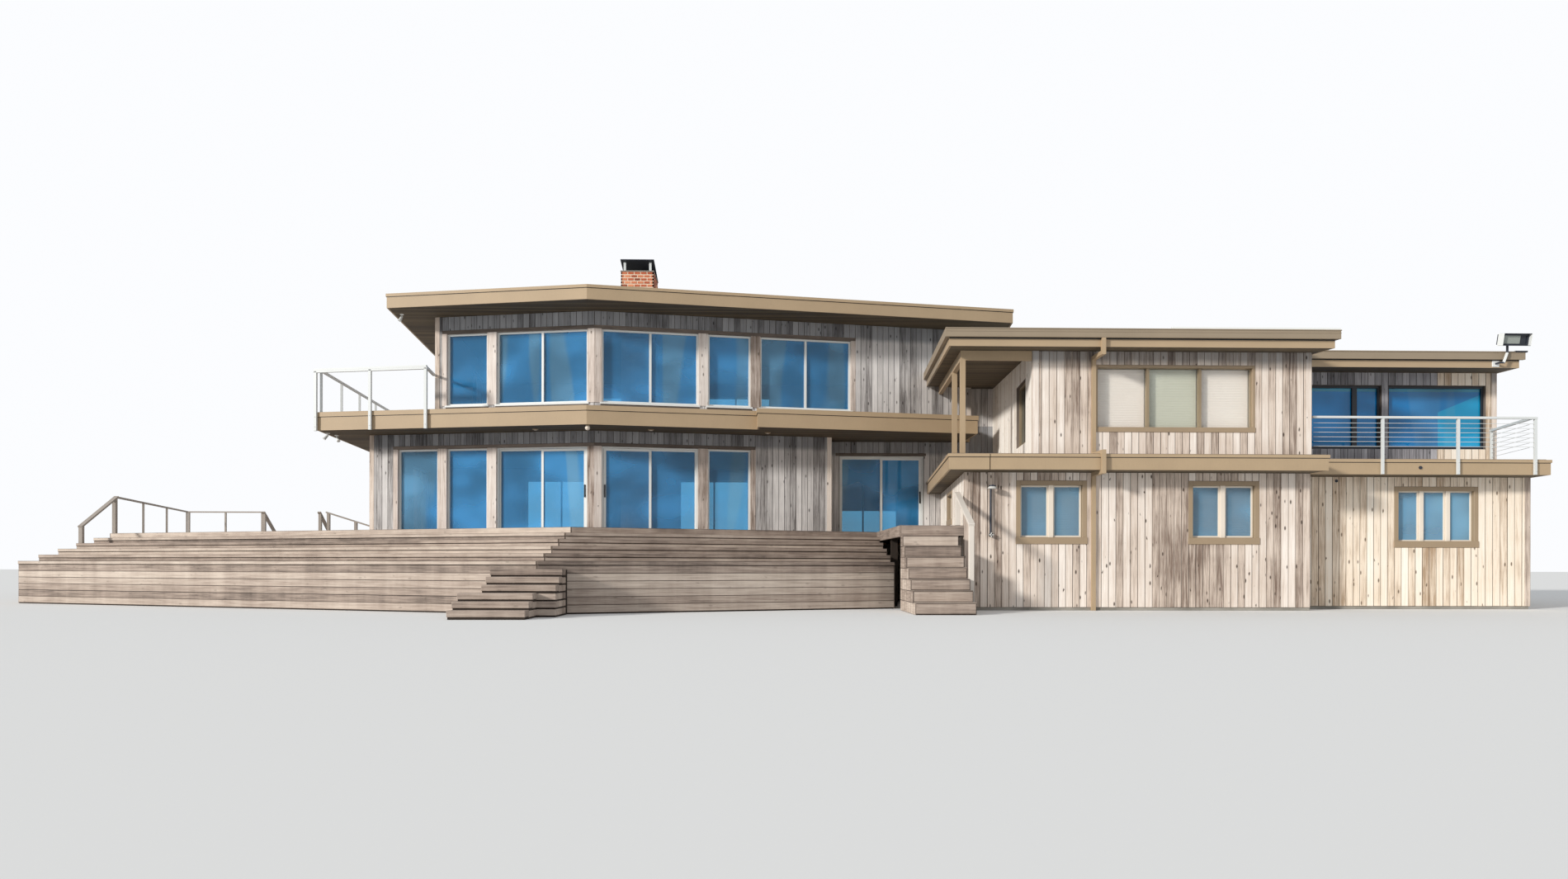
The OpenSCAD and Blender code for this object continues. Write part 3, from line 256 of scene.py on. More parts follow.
def board_finish(name, dark, middle, pale, knots, eave_shade=()):
    """Weathered wood, grained along its UV map. Heights under the eaves get painted shade, darker and bluish
    grey.
    """
    f = Finish(name)
    dark, middle, pale = srgb(*dark), srgb(*middle), srgb(*pale)
    own = f.own("board")
    shift = f.add("ShaderNodeCombineXYZ", None, {0: own * 31.0, 1: own * 17.0, 2: own * 7.0})
    where = f.add("ShaderNodeVectorMath", {"operation": "ADD"}, {0: f.place(source="UV"), 1: shift})
    grain = f.noise(f.scaled_place(where, (1.3, 26, 26)), 1.0, 5.0, 0.6)
    fine = f.noise(f.scaled_place(where, (5, 190, 190)), 1.0, 3.0, 0.7)
    weather = f.noise(f.place((0.35, 0.35, 0.9)), 1.0, 3.0)
    streak = f.noise(f.place((3.0, 3.0, 0.35)), 1.0, 4.0)
    tone = own * 0.34 + grain * 0.62 + fine * 0.30 - 0.08
    tone = tone + (weather - 0.5) * 0.40 + (streak - 0.5) * 0.34
    colour = f.ramp(tone, (0.28, dark), (0.52, middle), (0.86, pale))
    knot_place = f.scaled_place(where, (3.4, 8.5, 8.5))
    knot = 1.0 - f.spots(knot_place, 1.0).over(0.08, 0.20)
    few = f.noise(knot_place, 0.9, 0.0) > 0.46
    colour = f.mix(knot * few * knots, colour, tuple(c * 0.35 for c in dark))
    lift = f.axis(f.place(), "Z")
    # Painted shade: under the eaves the colour is darkened towards bluish grey, with a ragged lower edge
    for low, high in eave_shade:
        eave_shadow = (lift + streak * 0.12 - 0.06).over(low - 0.06, low + 0.10) * (lift < high)
        colour = f.mix(eave_shadow * 0.85, colour, f.mix(1.0, colour, srgb(168, 174, 182), "MULTIPLY"))
    joint = f.mix(own + 2.0, tuple(c * 0.25 for c in dark), tuple(c * 0.62 for c in middle))
    colour = f.mix(own < JOINT / 2, colour, joint)
    f.set(base_color=colour, roughness=0.82 - 0.1 * fine, specular_ior_level=0.25)
    return f.bump(grain * 0.7 + fine * 0.5 - knot * 0.3, 0.25, 0.004)


# Painted shade under the pavilion's balcony and roof
cedar = board_finish(
    "weathered_cedar", (104, 99, 97), (192, 188, 186), (234, 230, 227), 0.8,
    eave_shade=[(LOWER_HEAD + 0.02, BALCONY_TOP - 0.02), (UPPER_HEAD + 0.02, ROOF_TOP)],
)
# Painted shade under the wing's eaves
cedar_pale = board_finish(
    "pale_cedar", (124, 106, 94), (212, 196, 182), (244, 235, 226), 0.95,
    eave_shade=[(WING_ROOF - 0.21, GUTTER_TOP)],
)
# Painted shade: bluish grey boards where the roof shades the end block's upper wall
cedar_shaded = board_finish("shaded_cedar", (92, 90, 92), (150, 148, 152), (204, 202, 206), 0.6)
# Painted sunlight: the palest boards, on the side walls that face the sun
cedar_sunlit_side = board_finish("sunlit_side_cedar", (206, 190, 174), (244, 236, 226), (255, 250, 242), 0.9)
# Painted sunlight: paler boards where the sun falls on the end block
cedar_sunlit = board_finish("sunlit_cedar", (172, 146, 120), (238, 222, 202), (252, 244, 232), 0.9)
deck_wood = board_finish("deck_boards", (108, 96, 88), (164, 148, 136), (208, 194, 180), 0.25)
# Painted shade: the solids under the deck's boards are near black, as the shade in the gaps between boards
deck_frame_shade = board_finish("deck_framing_shade", (40, 33, 28), (60, 50, 43), (82, 70, 60), 0.1)
grey_trim = board_finish("grey_trim", (84, 76, 70), (112, 102, 94), (142, 130, 120), 0.1)
floor_wood = board_finish("floor_boards", (120, 88, 60), (160, 122, 86), (190, 150, 112), 0.1)
post_wood = board_finish("post_wood", (112, 94, 82), (202, 188, 178), (242, 234, 227), 0.7)


def paint_finish(name, colour, roughness, wear=0.12):
    """Paint in one colour, with soft clouds of wear and fine brush marks."""
    f = Finish(name)
    where = f.place()
    cloud = f.noise(where, 1.3, 4.0)
    fine = f.noise(f.place((60, 60, 7.2)), 1.0, 3.0)
    shade = (cloud - 0.5) * wear * 2 + (fine - 0.5) * wear * 0.8 + 1.0
    roughness = roughness + (fine - 0.5) * 0.12
    f.set(base_color=f.scaled(srgb(*colour), shade), roughness=roughness, specular_ior_level=0.4)
    return f.bump(fine, 0.08, 0.002)


TAN = (171, 149, 120)
fascia = paint_finish("tan_fascia", TAN, 0.55)
taupe = paint_finish("taupe_casing", (156, 136, 111), 0.5)
white_frame = paint_finish("white_frame", (226, 228, 226), 0.35, 0.05)
cream = paint_finish("cream_sash", (226, 215, 200), 0.45, 0.08)
rail_grey = paint_finish("rail_grey", (206, 209, 208), 0.4, 0.06)
deck_rail = paint_finish("deck_rail_wood", (158, 149, 140), 0.7, 0.25)
dark_sheet = paint_finish("dark_sheet", (44, 48, 58), 0.4, 0.2)
# Black paint for the door pulls, and for strips of painted shadow
black = paint_finish("black_pull_and_shadow", (26, 26, 28), 0.35, 0.1)
chrome = paint_finish("pale_fittings", (206, 206, 202), 0.3, 0.05)
pale_wood_paint = paint_finish("pale_handrail", (214, 206, 196), 0.6, 0.1)
lamp_glass = paint_finish("lamp_glass", (150, 156, 150), 0.15, 0.1)
blind = paint_finish("pale_blind", (242, 232, 222), 0.6, 0.03)
blind_green = paint_finish("green_blind", (206, 206, 188), 0.6, 0.03)


def concrete_finish():
    f = Finish("cast_concrete")
    where = f.place()
    cloud = f.noise(where, 1.6, 6.0, 0.6)
    pit = 1.0 - f.spots(where, 24.0).over(0.03, 0.09)
    board_line = f.seams(f.axis(where, "Z"), 0.30, 0.006)
    colour = f.ramp(cloud, (0.3, srgb(126, 122, 114)), (0.7, srgb(168, 163, 154)))
    colour = f.mix(pit * 0.4 + (1.0 - board_line) * 0.3, colour, srgb(92, 88, 82))
    f.set(base_color=colour, roughness=0.9)
    return f.bump(cloud + board_line * 0.4 - pit * 0.6, 0.25, 0.01)


def brick_finish():
    f = Finish("red_brick")
    own = f.own("board")
    where = f.place()
    cloud = f.noise(where, 14.0, 5.0, 0.65)
    speck = f.noise(where, 90.0, 2.0)
    tone = own * 0.75 + cloud * 0.35 + speck * 0.12
    colour = f.ramp(tone, (0.2, srgb(122, 60, 42)), (0.55, srgb(186, 98, 66)), (0.95, srgb(226, 150, 110)))
    f.set(base_color=colour, roughness=0.88)
    return f.bump(cloud * 0.6 + speck * 0.4, 0.35, 0.004)


def stack_finish():
    """Mortar above the roof, white-painted brickwork below it."""
    f = Finish("mortar_and_painted_brick")
    where = f.place()
    up = f.axis(where, "Z")
    side = f.axis(where, "X") + f.axis(where, "Y")
    wall = f.add("ShaderNodeCombineXYZ", None, {0: side, 1: up, 2: 0.0})
    joint = f.add("ShaderNodeTexBrick", None, {
        "Vector": wall, "Scale": 1.0, "Mortar Size": 0.008, "Mortar Smooth": 0.2,
        "Brick Width": 0.205, "Row Height": 0.0677,
    }, "Fac")
    fine = f.noise(where, 60.0, 4.0)
    cloud = f.noise(where, 3.0, 3.0)
    white = f.ramp(cloud + joint * 0.25, (0.3, srgb(222, 218, 208)), (0.75, srgb(184, 178, 166)))
    mortar = f.ramp(fine, (0.3, srgb(222, 196, 170)), (0.7, srgb(242, 220, 196)))
    f.set(base_color=f.mix(up > ROOF_TOP - 0.07, white, mortar), roughness=0.85)
    return f.bump(fine * 0.3 - joint, 0.5, 0.008)


def glass_finish(name, colour, cover, *areas, reflection_streaks=0.3, painted_glow=None):
    """Tinted glass, its blue partly a painted sky reflection, with painted clouds and pale streaks of
    reflection. An area is a test on the place, with the colour and cover of the panes in it.

    Painted glow is a test on the place, with the colour of painted daylight that the panes there give off.
    """
    f = Finish(name)
    where = f.place()
    # Painted sky reflection: soft clouds lighten and darken the blue, and pale teal streaks cross it
    cloud = f.noise(f.place((0.5, 0.5, 0.8)), 1.0, 2.0).over(0.35, 0.7)
    shade = 0.72 + 0.6 * cloud
    streak = f.noise(f.place((1.1, 1.1, 0.12)), 1.0, 1.0).over(0.56, 0.60)
    tint_and_reflection, solid = colour, cover
    for test, area_colour, area_cover in areas:
        there = test(f, where)
        tint_and_reflection = f.mix(there, tint_and_reflection, area_colour)
        solid = (1.0 - there) * solid + there * area_cover
    tint_and_reflection = f.mix(streak * reflection_streaks, tint_and_reflection, srgb(150, 186, 186))
    solid = solid * (0.88 + 0.2 * cloud)
    f.set(base_color=f.scaled(tint_and_reflection, shade), roughness=0.03, specular_ior_level=0.5, alpha=solid)
    if painted_glow:
        test, glow = painted_glow
        # Painted light: the panes glow, though there is no lamp
        f.set(emission_color=f.mix(test(f, where), (0.0, 0.0, 0.0), glow), emission_strength=1.0)
    f.material.surface_render_method = "BLENDED"
    return f


def roofing_finish():
    f = Finish("grey_roofing")
    where = f.place()
    grit = f.noise(where, 160.0, 2.0)
    cloud = f.noise(where, 0.6, 5.0)
    lap = f.seams(f.axis(where, "Y"), 1.0, 0.012)
    colour = f.ramp(cloud * 0.7 + grit * 0.35, (0.35, srgb(120, 118, 112)), (0.75, srgb(172, 168, 160)))
    colour = f.mix((1.0 - lap) * 0.5, colour, srgb(90, 88, 84))
    f.set(base_color=colour, roughness=0.92)
    return f.bump(grit * 0.5 + lap, 0.3, 0.004)


def soffit_boards_finish():
    """Dark stained boards with open joints, seen from below."""
    f = Finish("soffit_boards")
    rows_in_a_metre = 7.2
    across = f.axis(f.place(), "Y")
    row = f.add("ShaderNodeMath", {"operation": "FLOOR"}, {0: across * rows_in_a_metre})
    own = f.add("ShaderNodeTexWhiteNoise", {"noise_dimensions": "1D"}, {"W": row}, "Value")
    joint = f.seams(across, 1 / rows_in_a_metre, 0.006)
    grain = f.noise(f.place((1.5, 28, 28)), 1.0, 5.0)
    colour = f.ramp(own * 0.5 + grain * 0.5, (0.2, srgb(66, 57, 43)), (0.8, srgb(108, 94, 72)))
    colour = f.mix((1.0 - joint) * 0.8, colour, srgb(16, 13, 9))
    f.set(base_color=colour, roughness=0.75)
    return f.bump(joint + grain * 0.3, 0.4, 0.006)


def wing_frame_finish():
    """Taupe paint, but dark on the end block's upper frames."""
    f = Finish("wing_frames")
    where = f.place()
    dark = (f.axis(where, "Z") > WING_UPPER) * (f.axis(where, "X") > CORNER.x + WING_RIGHT)
    cloud = f.noise(where, 1.3, 4.0)
    paint = f.ramp(cloud, (0.3, srgb(134, 118, 94)), (0.7, srgb(150, 133, 107)))
    f.set(base_color=f.mix(dark, paint, srgb(34, 38, 46)), roughness=0.5)
    return f


def wing_edge_finish():
    """Tan paint on the eaves, with the gutter over it darker."""
    f = Finish("wing_eaves")
    where = f.place()
    gutter = f.axis(where, "Z") > GUTTER_FOOT - 0.005
    shade = (f.noise(where, 1.3, 4.0) - 0.5) * 0.24 + 1.0
    paint = f.mix(gutter, srgb(*TAN), srgb(144, 129, 109))
    f.set(base_color=f.scaled(paint, shade), roughness=0.55)
    return f.bump(f.noise(f.place((60, 60, 7)), 1.0, 3.0), 0.08, 0.002)


concrete = concrete_finish()
wing_edge = wing_edge_finish()
brick = brick_finish()
wing_frame = wing_frame_finish()
stack = stack_finish()
roofing = roofing_finish()
soffit_boards = soffit_boards_finish()

# The rooms' side of the pavilion's rear panes glows with painted daylight, which shows through the panes of
# the front
REAR_PANES = max(vertex.co.y for vertex in nodes["pavilion_glass"].data.vertices)
REAR_HALF, BEHIND_RECESS = CORNER.y + 5.0, CORNER.x + 5.0
DAYLIGHT_TOP, DAYLIGHT_RISE = 2.77, 6.0


def rear_panes(f, where):
    return f.axis(where, "Y") > REAR_HALF


def rear_painted_glow(f, where):
    """Where the painted glow goes: the rooms' side of the rear panes, but only the foot of those behind the
    recess.
    """
    depth = f.axis(where, "Y")
    rooms_side = (depth > REAR_PANES - 0.06) * (depth < REAR_PANES - 0.003)
    top = DAYLIGHT_TOP + DAYLIGHT_RISE * (f.axis(where, "X") < BEHIND_RECESS)
    return rooms_side * (f.axis(where, "Z") < top)


# Blinds stand close behind the wing's panes, and only the end block's upper ones are deep blue: a tint that
# is partly painted sky reflection, paler at the tops of the panes and at a bright corner
BRIGHT_FROM, BRIGHT_TOP, BRIGHT_SLOPE = CORNER.x + WING_RIGHT + 4.12, 4.38, 0.41
PANE_TOPS = 4.84


def corner_sky_reflection(f, where):
    """A paler painted sky reflection: the end block's last pane under a slanting line, from its middle to its
    right edge.
    """
    across = f.axis(where, "X")
    line = BRIGHT_TOP + (across - BRIGHT_FROM) * BRIGHT_SLOPE
    return (across > BRIGHT_FROM) * (f.axis(where, "Z") < line)


# A painted sky reflection, paler at the tops of the panes
def pane_top_reflection(f, where):
    return f.axis(where, "Z") > PANE_TOPS


def wing_lower_panes(f, where):
    return f.axis(where, "Z") < WING_UPPER


def wing_upper_panes(f, where):
    return (f.axis(where, "Z") > WING_UPPER) * (f.axis(where, "X") < CORNER.x + WING_RIGHT)


def porch_pane(f, where):
    beside = f.axis(where, "X") < CORNER.x + PORCH_RIGHT + 0.7
    behind = f.axis(where, "Y") > CORNER.y + WING_FRONT + 0.4
    return (f.axis(where, "Z") > WING_UPPER) * beside * behind


def wing_rear_panes(f, where):
    return f.axis(where, "Y") > CORNER.y + WING_BACK - 0.4


pavilion_glazing = glass_finish(
    "blue_glazing", srgb(66, 148, 206), 0.50,
    (rear_panes, srgb(66, 118, 152), 0.84),
    painted_glow=(rear_painted_glow, srgb(118, 210, 255)),
)
# The wing's glass: its deep blue, paler corner and pane tops are partly painted sky reflection
wing_glazing = glass_finish(
    "wing_glazing", srgb(0, 128, 198), 0.92,
    (corner_sky_reflection, srgb(0, 168, 222), 0.90),
    (pane_top_reflection, srgb(64, 158, 190), 0.80),
    (wing_lower_panes, srgb(104, 160, 194), 0.52),
    (wing_upper_panes, srgb(190, 200, 200), 0.10),
    (porch_pane, srgb(70, 70, 62), 0.88),
    (wing_rear_panes, srgb(84, 124, 148), 0.74),
    reflection_streaks=0.1,
)


def wall_core_finish():
    """Plaster, the colour of the boards that cover it outside."""
    f = Finish("wall_core")
    where = f.place()
    grain = f.noise(f.place((18, 18, 1.2)), 1.0, 4.0)
    f.set(base_color=f.ramp(grain, (0.3, srgb(196, 188, 174)), (0.7, srgb(214, 208, 196))), roughness=0.8)
    return f.bump(f.noise(where, 40.0, 3.0), 0.1, 0.002)


wall_core = wall_core_finish()

CAD_FINISHES = (
    (concrete, "foundation_walls wing_floor"),
    (floor_wood, "pavilion_floor"),
    (wall_core, (
        "corner_post door_heads left_facet_wall right_facet_wall recess_walls pavilion_end_walls "
        "pavilion_back_wall upper_left_wall upper_right_wall upper_end_walls upper_back_wall "
        "wing_front_wall end_front_wall wing_end_walls wing_back_wall wing_upper_front_wall "
        "end_upper_front_wall wing_upper_end_walls wing_upper_back_wall porch_side_wall "
        "porch_back_wall"
    )),
    (soffit_boards, "pavilion_upper_floor pavilion_roof wing_upper_floor wing_roof end_roof"),
    (fascia, "balcony_band roof_edge wing_band porch_frame downspout"),
    (wing_edge, "wing_roof_edge end_roof_edge"),
    (stack, "chimney_stack"),
    (dark_sheet, "chimney_cap floodlight shower"),
    (white_frame, "pavilion_frames door_frames door_1_panel door_2_panel door_3_panel"),
    (pavilion_glazing, "pavilion_glass door_1_glass door_2_glass door_3_glass"),
    (rail_grey, "balcony_railing end_railing"),
    (deck_frame_shade, "deck_platform deck_posts deck_steps sand_steps deck_stairs side_steps"),
    (deck_rail, "deck_railing"),
    (wing_frame, "wing_frames"),
    (wing_glazing, "wing_glass"),
)
for finish, node_names in CAD_FINISHES:
    for node_name in node_names.split():
        data = nodes[node_name].data
        data.materials.clear()
        data.materials.append(finish.material)


class Piece:
    """A piece under construction: parts are added in house coordinates, then it becomes one object."""

    def __init__(self, name, finish, slot, body="house"):
        self.name, self.finish, self.slot, self.body = name, finish, slot, body
        self.mesh = bpy.data.meshes.new(name)
        self.bm = bmesh.new()
        self.bm.faces.layers.float.new("board")
        self.bm.loops.layers.uv.new("UVMap")

    def take(self, part):
        part.to_mesh(self.mesh)
        part.free()
        self.bm.from_mesh(self.mesh)

    def done(self):
        bmesh.ops.translate(self.bm, verts=self.bm.verts, vec=CORNER)
        self.bm.to_mesh(self.mesh)
        self.bm.free()
        self.mesh.materials.append(self.finish.material)
        piece = bpy.data.objects.new(self.name, self.mesh)
        bpy.context.scene.collection.objects.link(piece)
        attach(piece, self.body)


def new_part():
    part = bmesh.new()
    part.faces.layers.float.new("board")
    part.loops.layers.uv.new("UVMap")
    return part


def frame_at(origin, along, up=(0, 0, 1)):
    """X runs along, Z is up as far as along allows, and Y points into the wall."""
    x = Vector(along).normalized()
    z = Vector(up)
    y = z.cross(x).normalized()
    z = x.cross(y).normalized()
    return Matrix.Translation(Vector(origin)) @ Matrix((x, y, z)).transposed().to_4x4()


seed = random.Random(7)


def lay_grain(part, size_of):
    """Lays the UV map in metres: along the board first, then across it."""
    uv = part.loops.layers.uv["UVMap"]
    for face in part.faces:
        for loop in face.loops:
            loop[uv].uv = size_of(loop.vert.co)


def panel(piece, place, x0, x1, z0, z1, width, thick=0.022, groove=0.0065, lay="up", cuts=(), proud=0.010):
    """Boards side by side on a wall or deck. They run up (along local Z) or along (local X)."""
    length, height = x1 - x0, z1 - z0
    if length < 0.01 or height < 0.01:
        return
    across = length if lay == "up" else height
    count = max(1, round(across / width))
    part = new_part()
    bmesh.ops.create_grid(
        part, x_segments=count if lay == "up" else 1, y_segments=1 if lay == "up" else count, size=0.5
    )
    bmesh.ops.scale(part, verts=part.verts, vec=(length, height, 1))
    bmesh.ops.rotate(part, verts=part.verts, cent=(0, 0, 0), matrix=Matrix.Rotation(math.pi / 2, 3, "X"))
    bmesh.ops.translate(part, verts=part.verts, vec=((x0 + x1) / 2, 0, (z0 + z1) / 2))
    for point, normal in cuts:
        geom = part.verts[:] + part.edges[:] + part.faces[:]
        bmesh.ops.bisect_plane(
            part, geom=geom, plane_co=place.inverted() @ Vector(point),
            plane_no=place.inverted().to_3x3() @ Vector(normal), clear_outer=True,
        )
    if not part.faces:
        part.free()
        return
    board = part.faces.layers.float["board"]
    for face in part.faces:
        face[board] = seed.random()
    fronts = bmesh.ops.extrude_face_region(part, geom=part.faces[:])["geom"]
    lifted = [v for v in fronts if isinstance(v, bmesh.types.BMVert)]
    bmesh.ops.translate(part, verts=lifted, vec=(0, -thick + proud, 0))
    bmesh.ops.recalc_face_normals(part, faces=part.faces)
    faces = [f for f in part.faces if f.normal.y < -0.99]
    rims = bmesh.ops.inset_individual(part, faces=faces, thickness=groove, depth=proud, use_even_offset=True)
    for face in rims["faces"]:
        face[board] = JOINT - seed.random()
    lay_grain(part, (lambda c: (c.z, c.x + c.y)) if lay == "up" else (lambda c: (c.x, c.z + c.y)))
    part.transform(place)
    piece.take(part)


def wall_frame(start, end):
    """A wall's frame and its length: X along its outer face, Y inward, Z up."""
    along = Vector(end) - Vector(start)
    return frame_at((*start, 0), (*along, 0)), along.length


def boarded_wall(piece, start, end, z0, z1, openings=(), cuts=()):
    """Upright boards on a wall's outer face, in panels beside, over and under its openings."""
    place, run = wall_frame(start, end)
    width, at = 0.15, 0.0
    for low, high, sill, head in sorted(openings):
        panel(piece, place, at, low, z0, z1, width, cuts=cuts)
        panel(piece, place, low, high, z0, sill, width, cuts=cuts)
        panel(piece, place, low, high, head, z1, width, cuts=cuts)
        at = high
    panel(piece, place, at, run, z0, z1, width, cuts=cuts)


def bar(piece, place, x0, x1, y0, y1, z0, z1, soften=0.004):
    """A squared length of timber or sheet with softened edges, in a wall's frame."""
    part = new_part()
    size = (x1 - x0, y1 - y0, z1 - z0)
    bmesh.ops.create_cube(part, size=1)
    bmesh.ops.scale(part, verts=part.verts, vec=size)
    bmesh.ops.translate(part, verts=part.verts, vec=((x0 + x1) / 2, (y0 + y1) / 2, (z0 + z1) / 2))
    bmesh.ops.bevel(
        part, geom=part.edges[:], offset=min(soften, min(size) / 3), offset_type="OFFSET", affect="EDGES",
        segments=1, profile=0.5, material=-1,
    )
    own = seed.random()
    board = part.faces.layers.float["board"]
    for face in part.faces:
        face[board] = own
    long_way = max(range(3), key=lambda i: size[i])
    lay_grain(part, lambda c: (c[long_way], sum(c) - c[long_way]))
    part.transform(place)
    piece.take(part)


def edge_bar(piece, start, end, past, *sizes):
    """A bar along an edge, which reaches past both of its ends."""
    place, run = wall_frame(start, end)
    bar(piece, place, -past, run + past, *sizes)


def face_boards(piece, start, end, z0, z1, width, thick):
    """Boards that run along an upright face."""
    place, run = wall_frame(start, end)
    panel(piece, place, 0, run, z0, z1, width, thick=thick, lay="along")


def rod(piece, place, radius, length, end_radius=None, sides=16):
    """A round bar or a cone along the frame's Z, from its origin."""
    part = new_part()
    bmesh.ops.create_cone(
        part, cap_ends=True, segments=sides, radius1=radius,
        radius2=radius if end_radius is None else end_radius, depth=length,
    )
    bmesh.ops.translate(part, verts=part.verts, vec=(0, 0, length / 2))
    lay_grain(part, lambda c: (c.z, c.x + c.y))
    part.transform(place)
    piece.take(part)


def at_point(x, y, z, toward=(0, 0, 1)):
    """A frame at a point with Z toward a direction."""
    turn = Vector(toward).to_track_quat("Z", "Y").to_matrix().to_4x4()
    return Matrix.Translation((x, y, z)) @ turn


# The house's own frame, and two directions in a wall's frame or the house's
HOUSE = Matrix.Identity(4)
OUTWARD, DOWN = (0, -1, 0), (0, 0, -1)


def roof_cut(eaves, height):
    """Everything over the pitched roof's underside goes."""
    normal = Vector((0, -math.sin(ROOF_PITCH), math.cos(ROOF_PITCH)))
    return (Vector((0, eaves, height)), normal)


def edge_cut(start, end):
    """Everything right of an upright plane from start to end goes."""
    along = Vector(end) - Vector(start)
    return (Vector((*start, 0)), Vector((along.y, -along.x, 0)).normalized())


def right_of(x):
    """Everything right of x goes."""
    return (Vector((x, 0, 0)), Vector((1, 0, 0)))


def left_of(x):
    return (Vector((x, 0, 0)), Vector((-1, 0, 0)))


def behind(y):
    return (Vector((0, y, 0)), Vector((0, 1, 0)))


def other_side(cut):
    return (cut[0], -cut[1])


def outline_cuts(points):
    """Cuts that keep what is inside an outline that runs anticlockwise."""
    return [edge_cut(points[i], points[(i + 1) % len(points)]) for i in range(len(points))]


# Bays and windows along their walls, with their sills and heads
WIDE, NARROW, POST, FIRST = 2.38, 1.10, 0.22, 0.16
DOOR = (FIRST, FIRST + WIDE)
BAY_2 = (DOOR[1] + POST, DOOR[1] + POST + NARROW)
BAY_3 = (BAY_2[1] + POST, BAY_2[1] + POST + NARROW)
WIDE_3 = (BAY_2[1] + POST, BAY_2[1] + POST + WIDE)
SIDE_BAY = (3.0, 3.0 + WIDE)
REAR_LOWER = [(0.9, 3.28), (4.3, 5.4), (6.0, 8.38), (11.2, 13.58)]
REAR_UPPER = [(0.9, 3.28), (6.0, 8.38), (10.9, 12.0)]
RECESS_DOOR = (0.29, 2.52)
WING_WINDOWS = [(1.03, 2.46), (4.54, 5.98)]
WING_REAR = [(1.5, 2.93), (5.0, 6.43), (8.6, 10.03)]
WING_SILL, WING_HEAD, WING_UPPER_SILL, WING_UPPER_HEAD = 1.39, 2.62, 3.66, 4.965
SIDE_WINDOW, SIDE_SILL, SIDE_HEAD = (2.9, 4.3), 1.90, 2.65
END_WINDOW, END_LOWER_SILL, END_LOWER_HEAD = (2.21, 4.0), 1.35, 2.58
UPPER_WINDOW = (1.25, 4.51)
PORCH_WINDOW, PORCH_SILL, PORCH_HEAD = (4.27, 5.56), 3.51, 4.85
END_LEFT_UNIT, END_RIGHT_UNIT, END_SILL = (0.15, 2.77), (2.92, 5.14), 3.54
WING_BAR, TRIPLE_BAR, END_BAR = 0.09, 0.055, 0.08
HEAD_TRIM = 0.07
END_RAIL_POSTS = (16.75, 18.32, 19.93)

OVERHANG, END_OVERHANG, BALCONY_END = 1.1, 0.69, 0.75
BAND_STEP_AT, BAND_STEP = 3.8, 0.45
CHIMNEY_X, CHIMNEY_Y, CHIMNEY_W, CHIMNEY_D, CHIMNEY_TOP = 0.23, 3.0, 0.87, 1.10, 8.87
STEP_RUN, SIDE_STEP_WIDTH = 0.29, 1.1
DECK_TOP, DECK_REAR_RIGHT = DECK_Z + 0.012, -7.4


def corner_out(out):
    """The front corner of an outline that stands out from both facets."""
    return Vector((0, -out / math.cos(FACET)))


def back_from(point):
    """Where the pavilion's left side, which starts at a front corner, meets its back."""
    return Vector((left_line(point, PAVILION_BACK), PAVILION_BACK))


# Corners of the walls
front = Vector((0, 0))
lower_left, lower_right = facet_point(-1, LOWER_REACH), facet_point(1, LOWER_REACH)
upper_left, upper_right = facet_point(-1, UPPER_LEFT), facet_point(1, UPPER_RIGHT)
recess_left, recess_right = Vector((lower_right.x, RECESS_Y)), Vector((wing_line(RECESS_Y), RECESS_Y))
wing_left, wing_right = Vector((WING_LEFT, WING_FRONT)), Vector((WING_RIGHT, WING_FRONT))
end_left, end_right = Vector((WING_RIGHT, END_FRONT)), Vector((END_RIGHT, END_FRONT))
wing_back_left = Vector((wing_line(WING_BACK), WING_BACK))
wing_back_right = Vector((end_line(WING_BACK), WING_BACK))
upper_end_left = Vector((WING_RIGHT, END_UPPER_FRONT))
upper_end_right = Vector((end_line(END_UPPER_FRONT), END_UPPER_FRONT))
porch_front = Vector((PORCH_RIGHT, WING_FRONT))
porch_back = Vector((splay(PORCH_RIGHT, WING_FRONT, WING_SPLAY, RECESS_Y), RECESS_Y))

# Corners of the bands, the roof and the deck
band_left = facet_point(-1, LOWER_REACH + BALCONY_END, OVERHANG)
band_right = facet_point(1, UPPER_RIGHT - 0.438, OVERHANG + BAND_STEP)
band_back_left = back_from(band_left)
porch_band_back = Vector((splay(EAVES_LEFT, WING_EAVES, WING_SPLAY, RECESS_Y), RECESS_Y))
roof_left = facet_point(-1, UPPER_LEFT + END_OVERHANG, OVERHANG)
roof_right = facet_point(1, UPPER_RIGHT + 0.7, OVERHANG)
roof_back = PAVILION_BACK + END_OVERHANG
roof_outline = [
    roof_left, corner_out(OVERHANG), roof_right,
    Vector((splay(roof_right.x, roof_right.y, WING_SPLAY, roof_back), roof_back)),
    Vector((left_line(roof_left, roof_back), roof_back)),
]
walk_left = wing_line(WING_FRONT) - 1.3
tiers_right = walk_left - 0.04
deck_corner = Vector((0, -DECK_REACH))
deck_front_left = Vector((-DECK_LEFT, -DECK_REACH + DECK_LEFT * math.tan(DECK_ANGLE)))
deck_back_left = Vector((
    deck_front_left.x - (PAVILION_BACK - deck_front_left.y) * math.tan(DECK_SIDE), PAVILION_BACK,
))
MIDDLE_LEFT, MIDDLE_RIGHT = right_of(0), left_of(0)

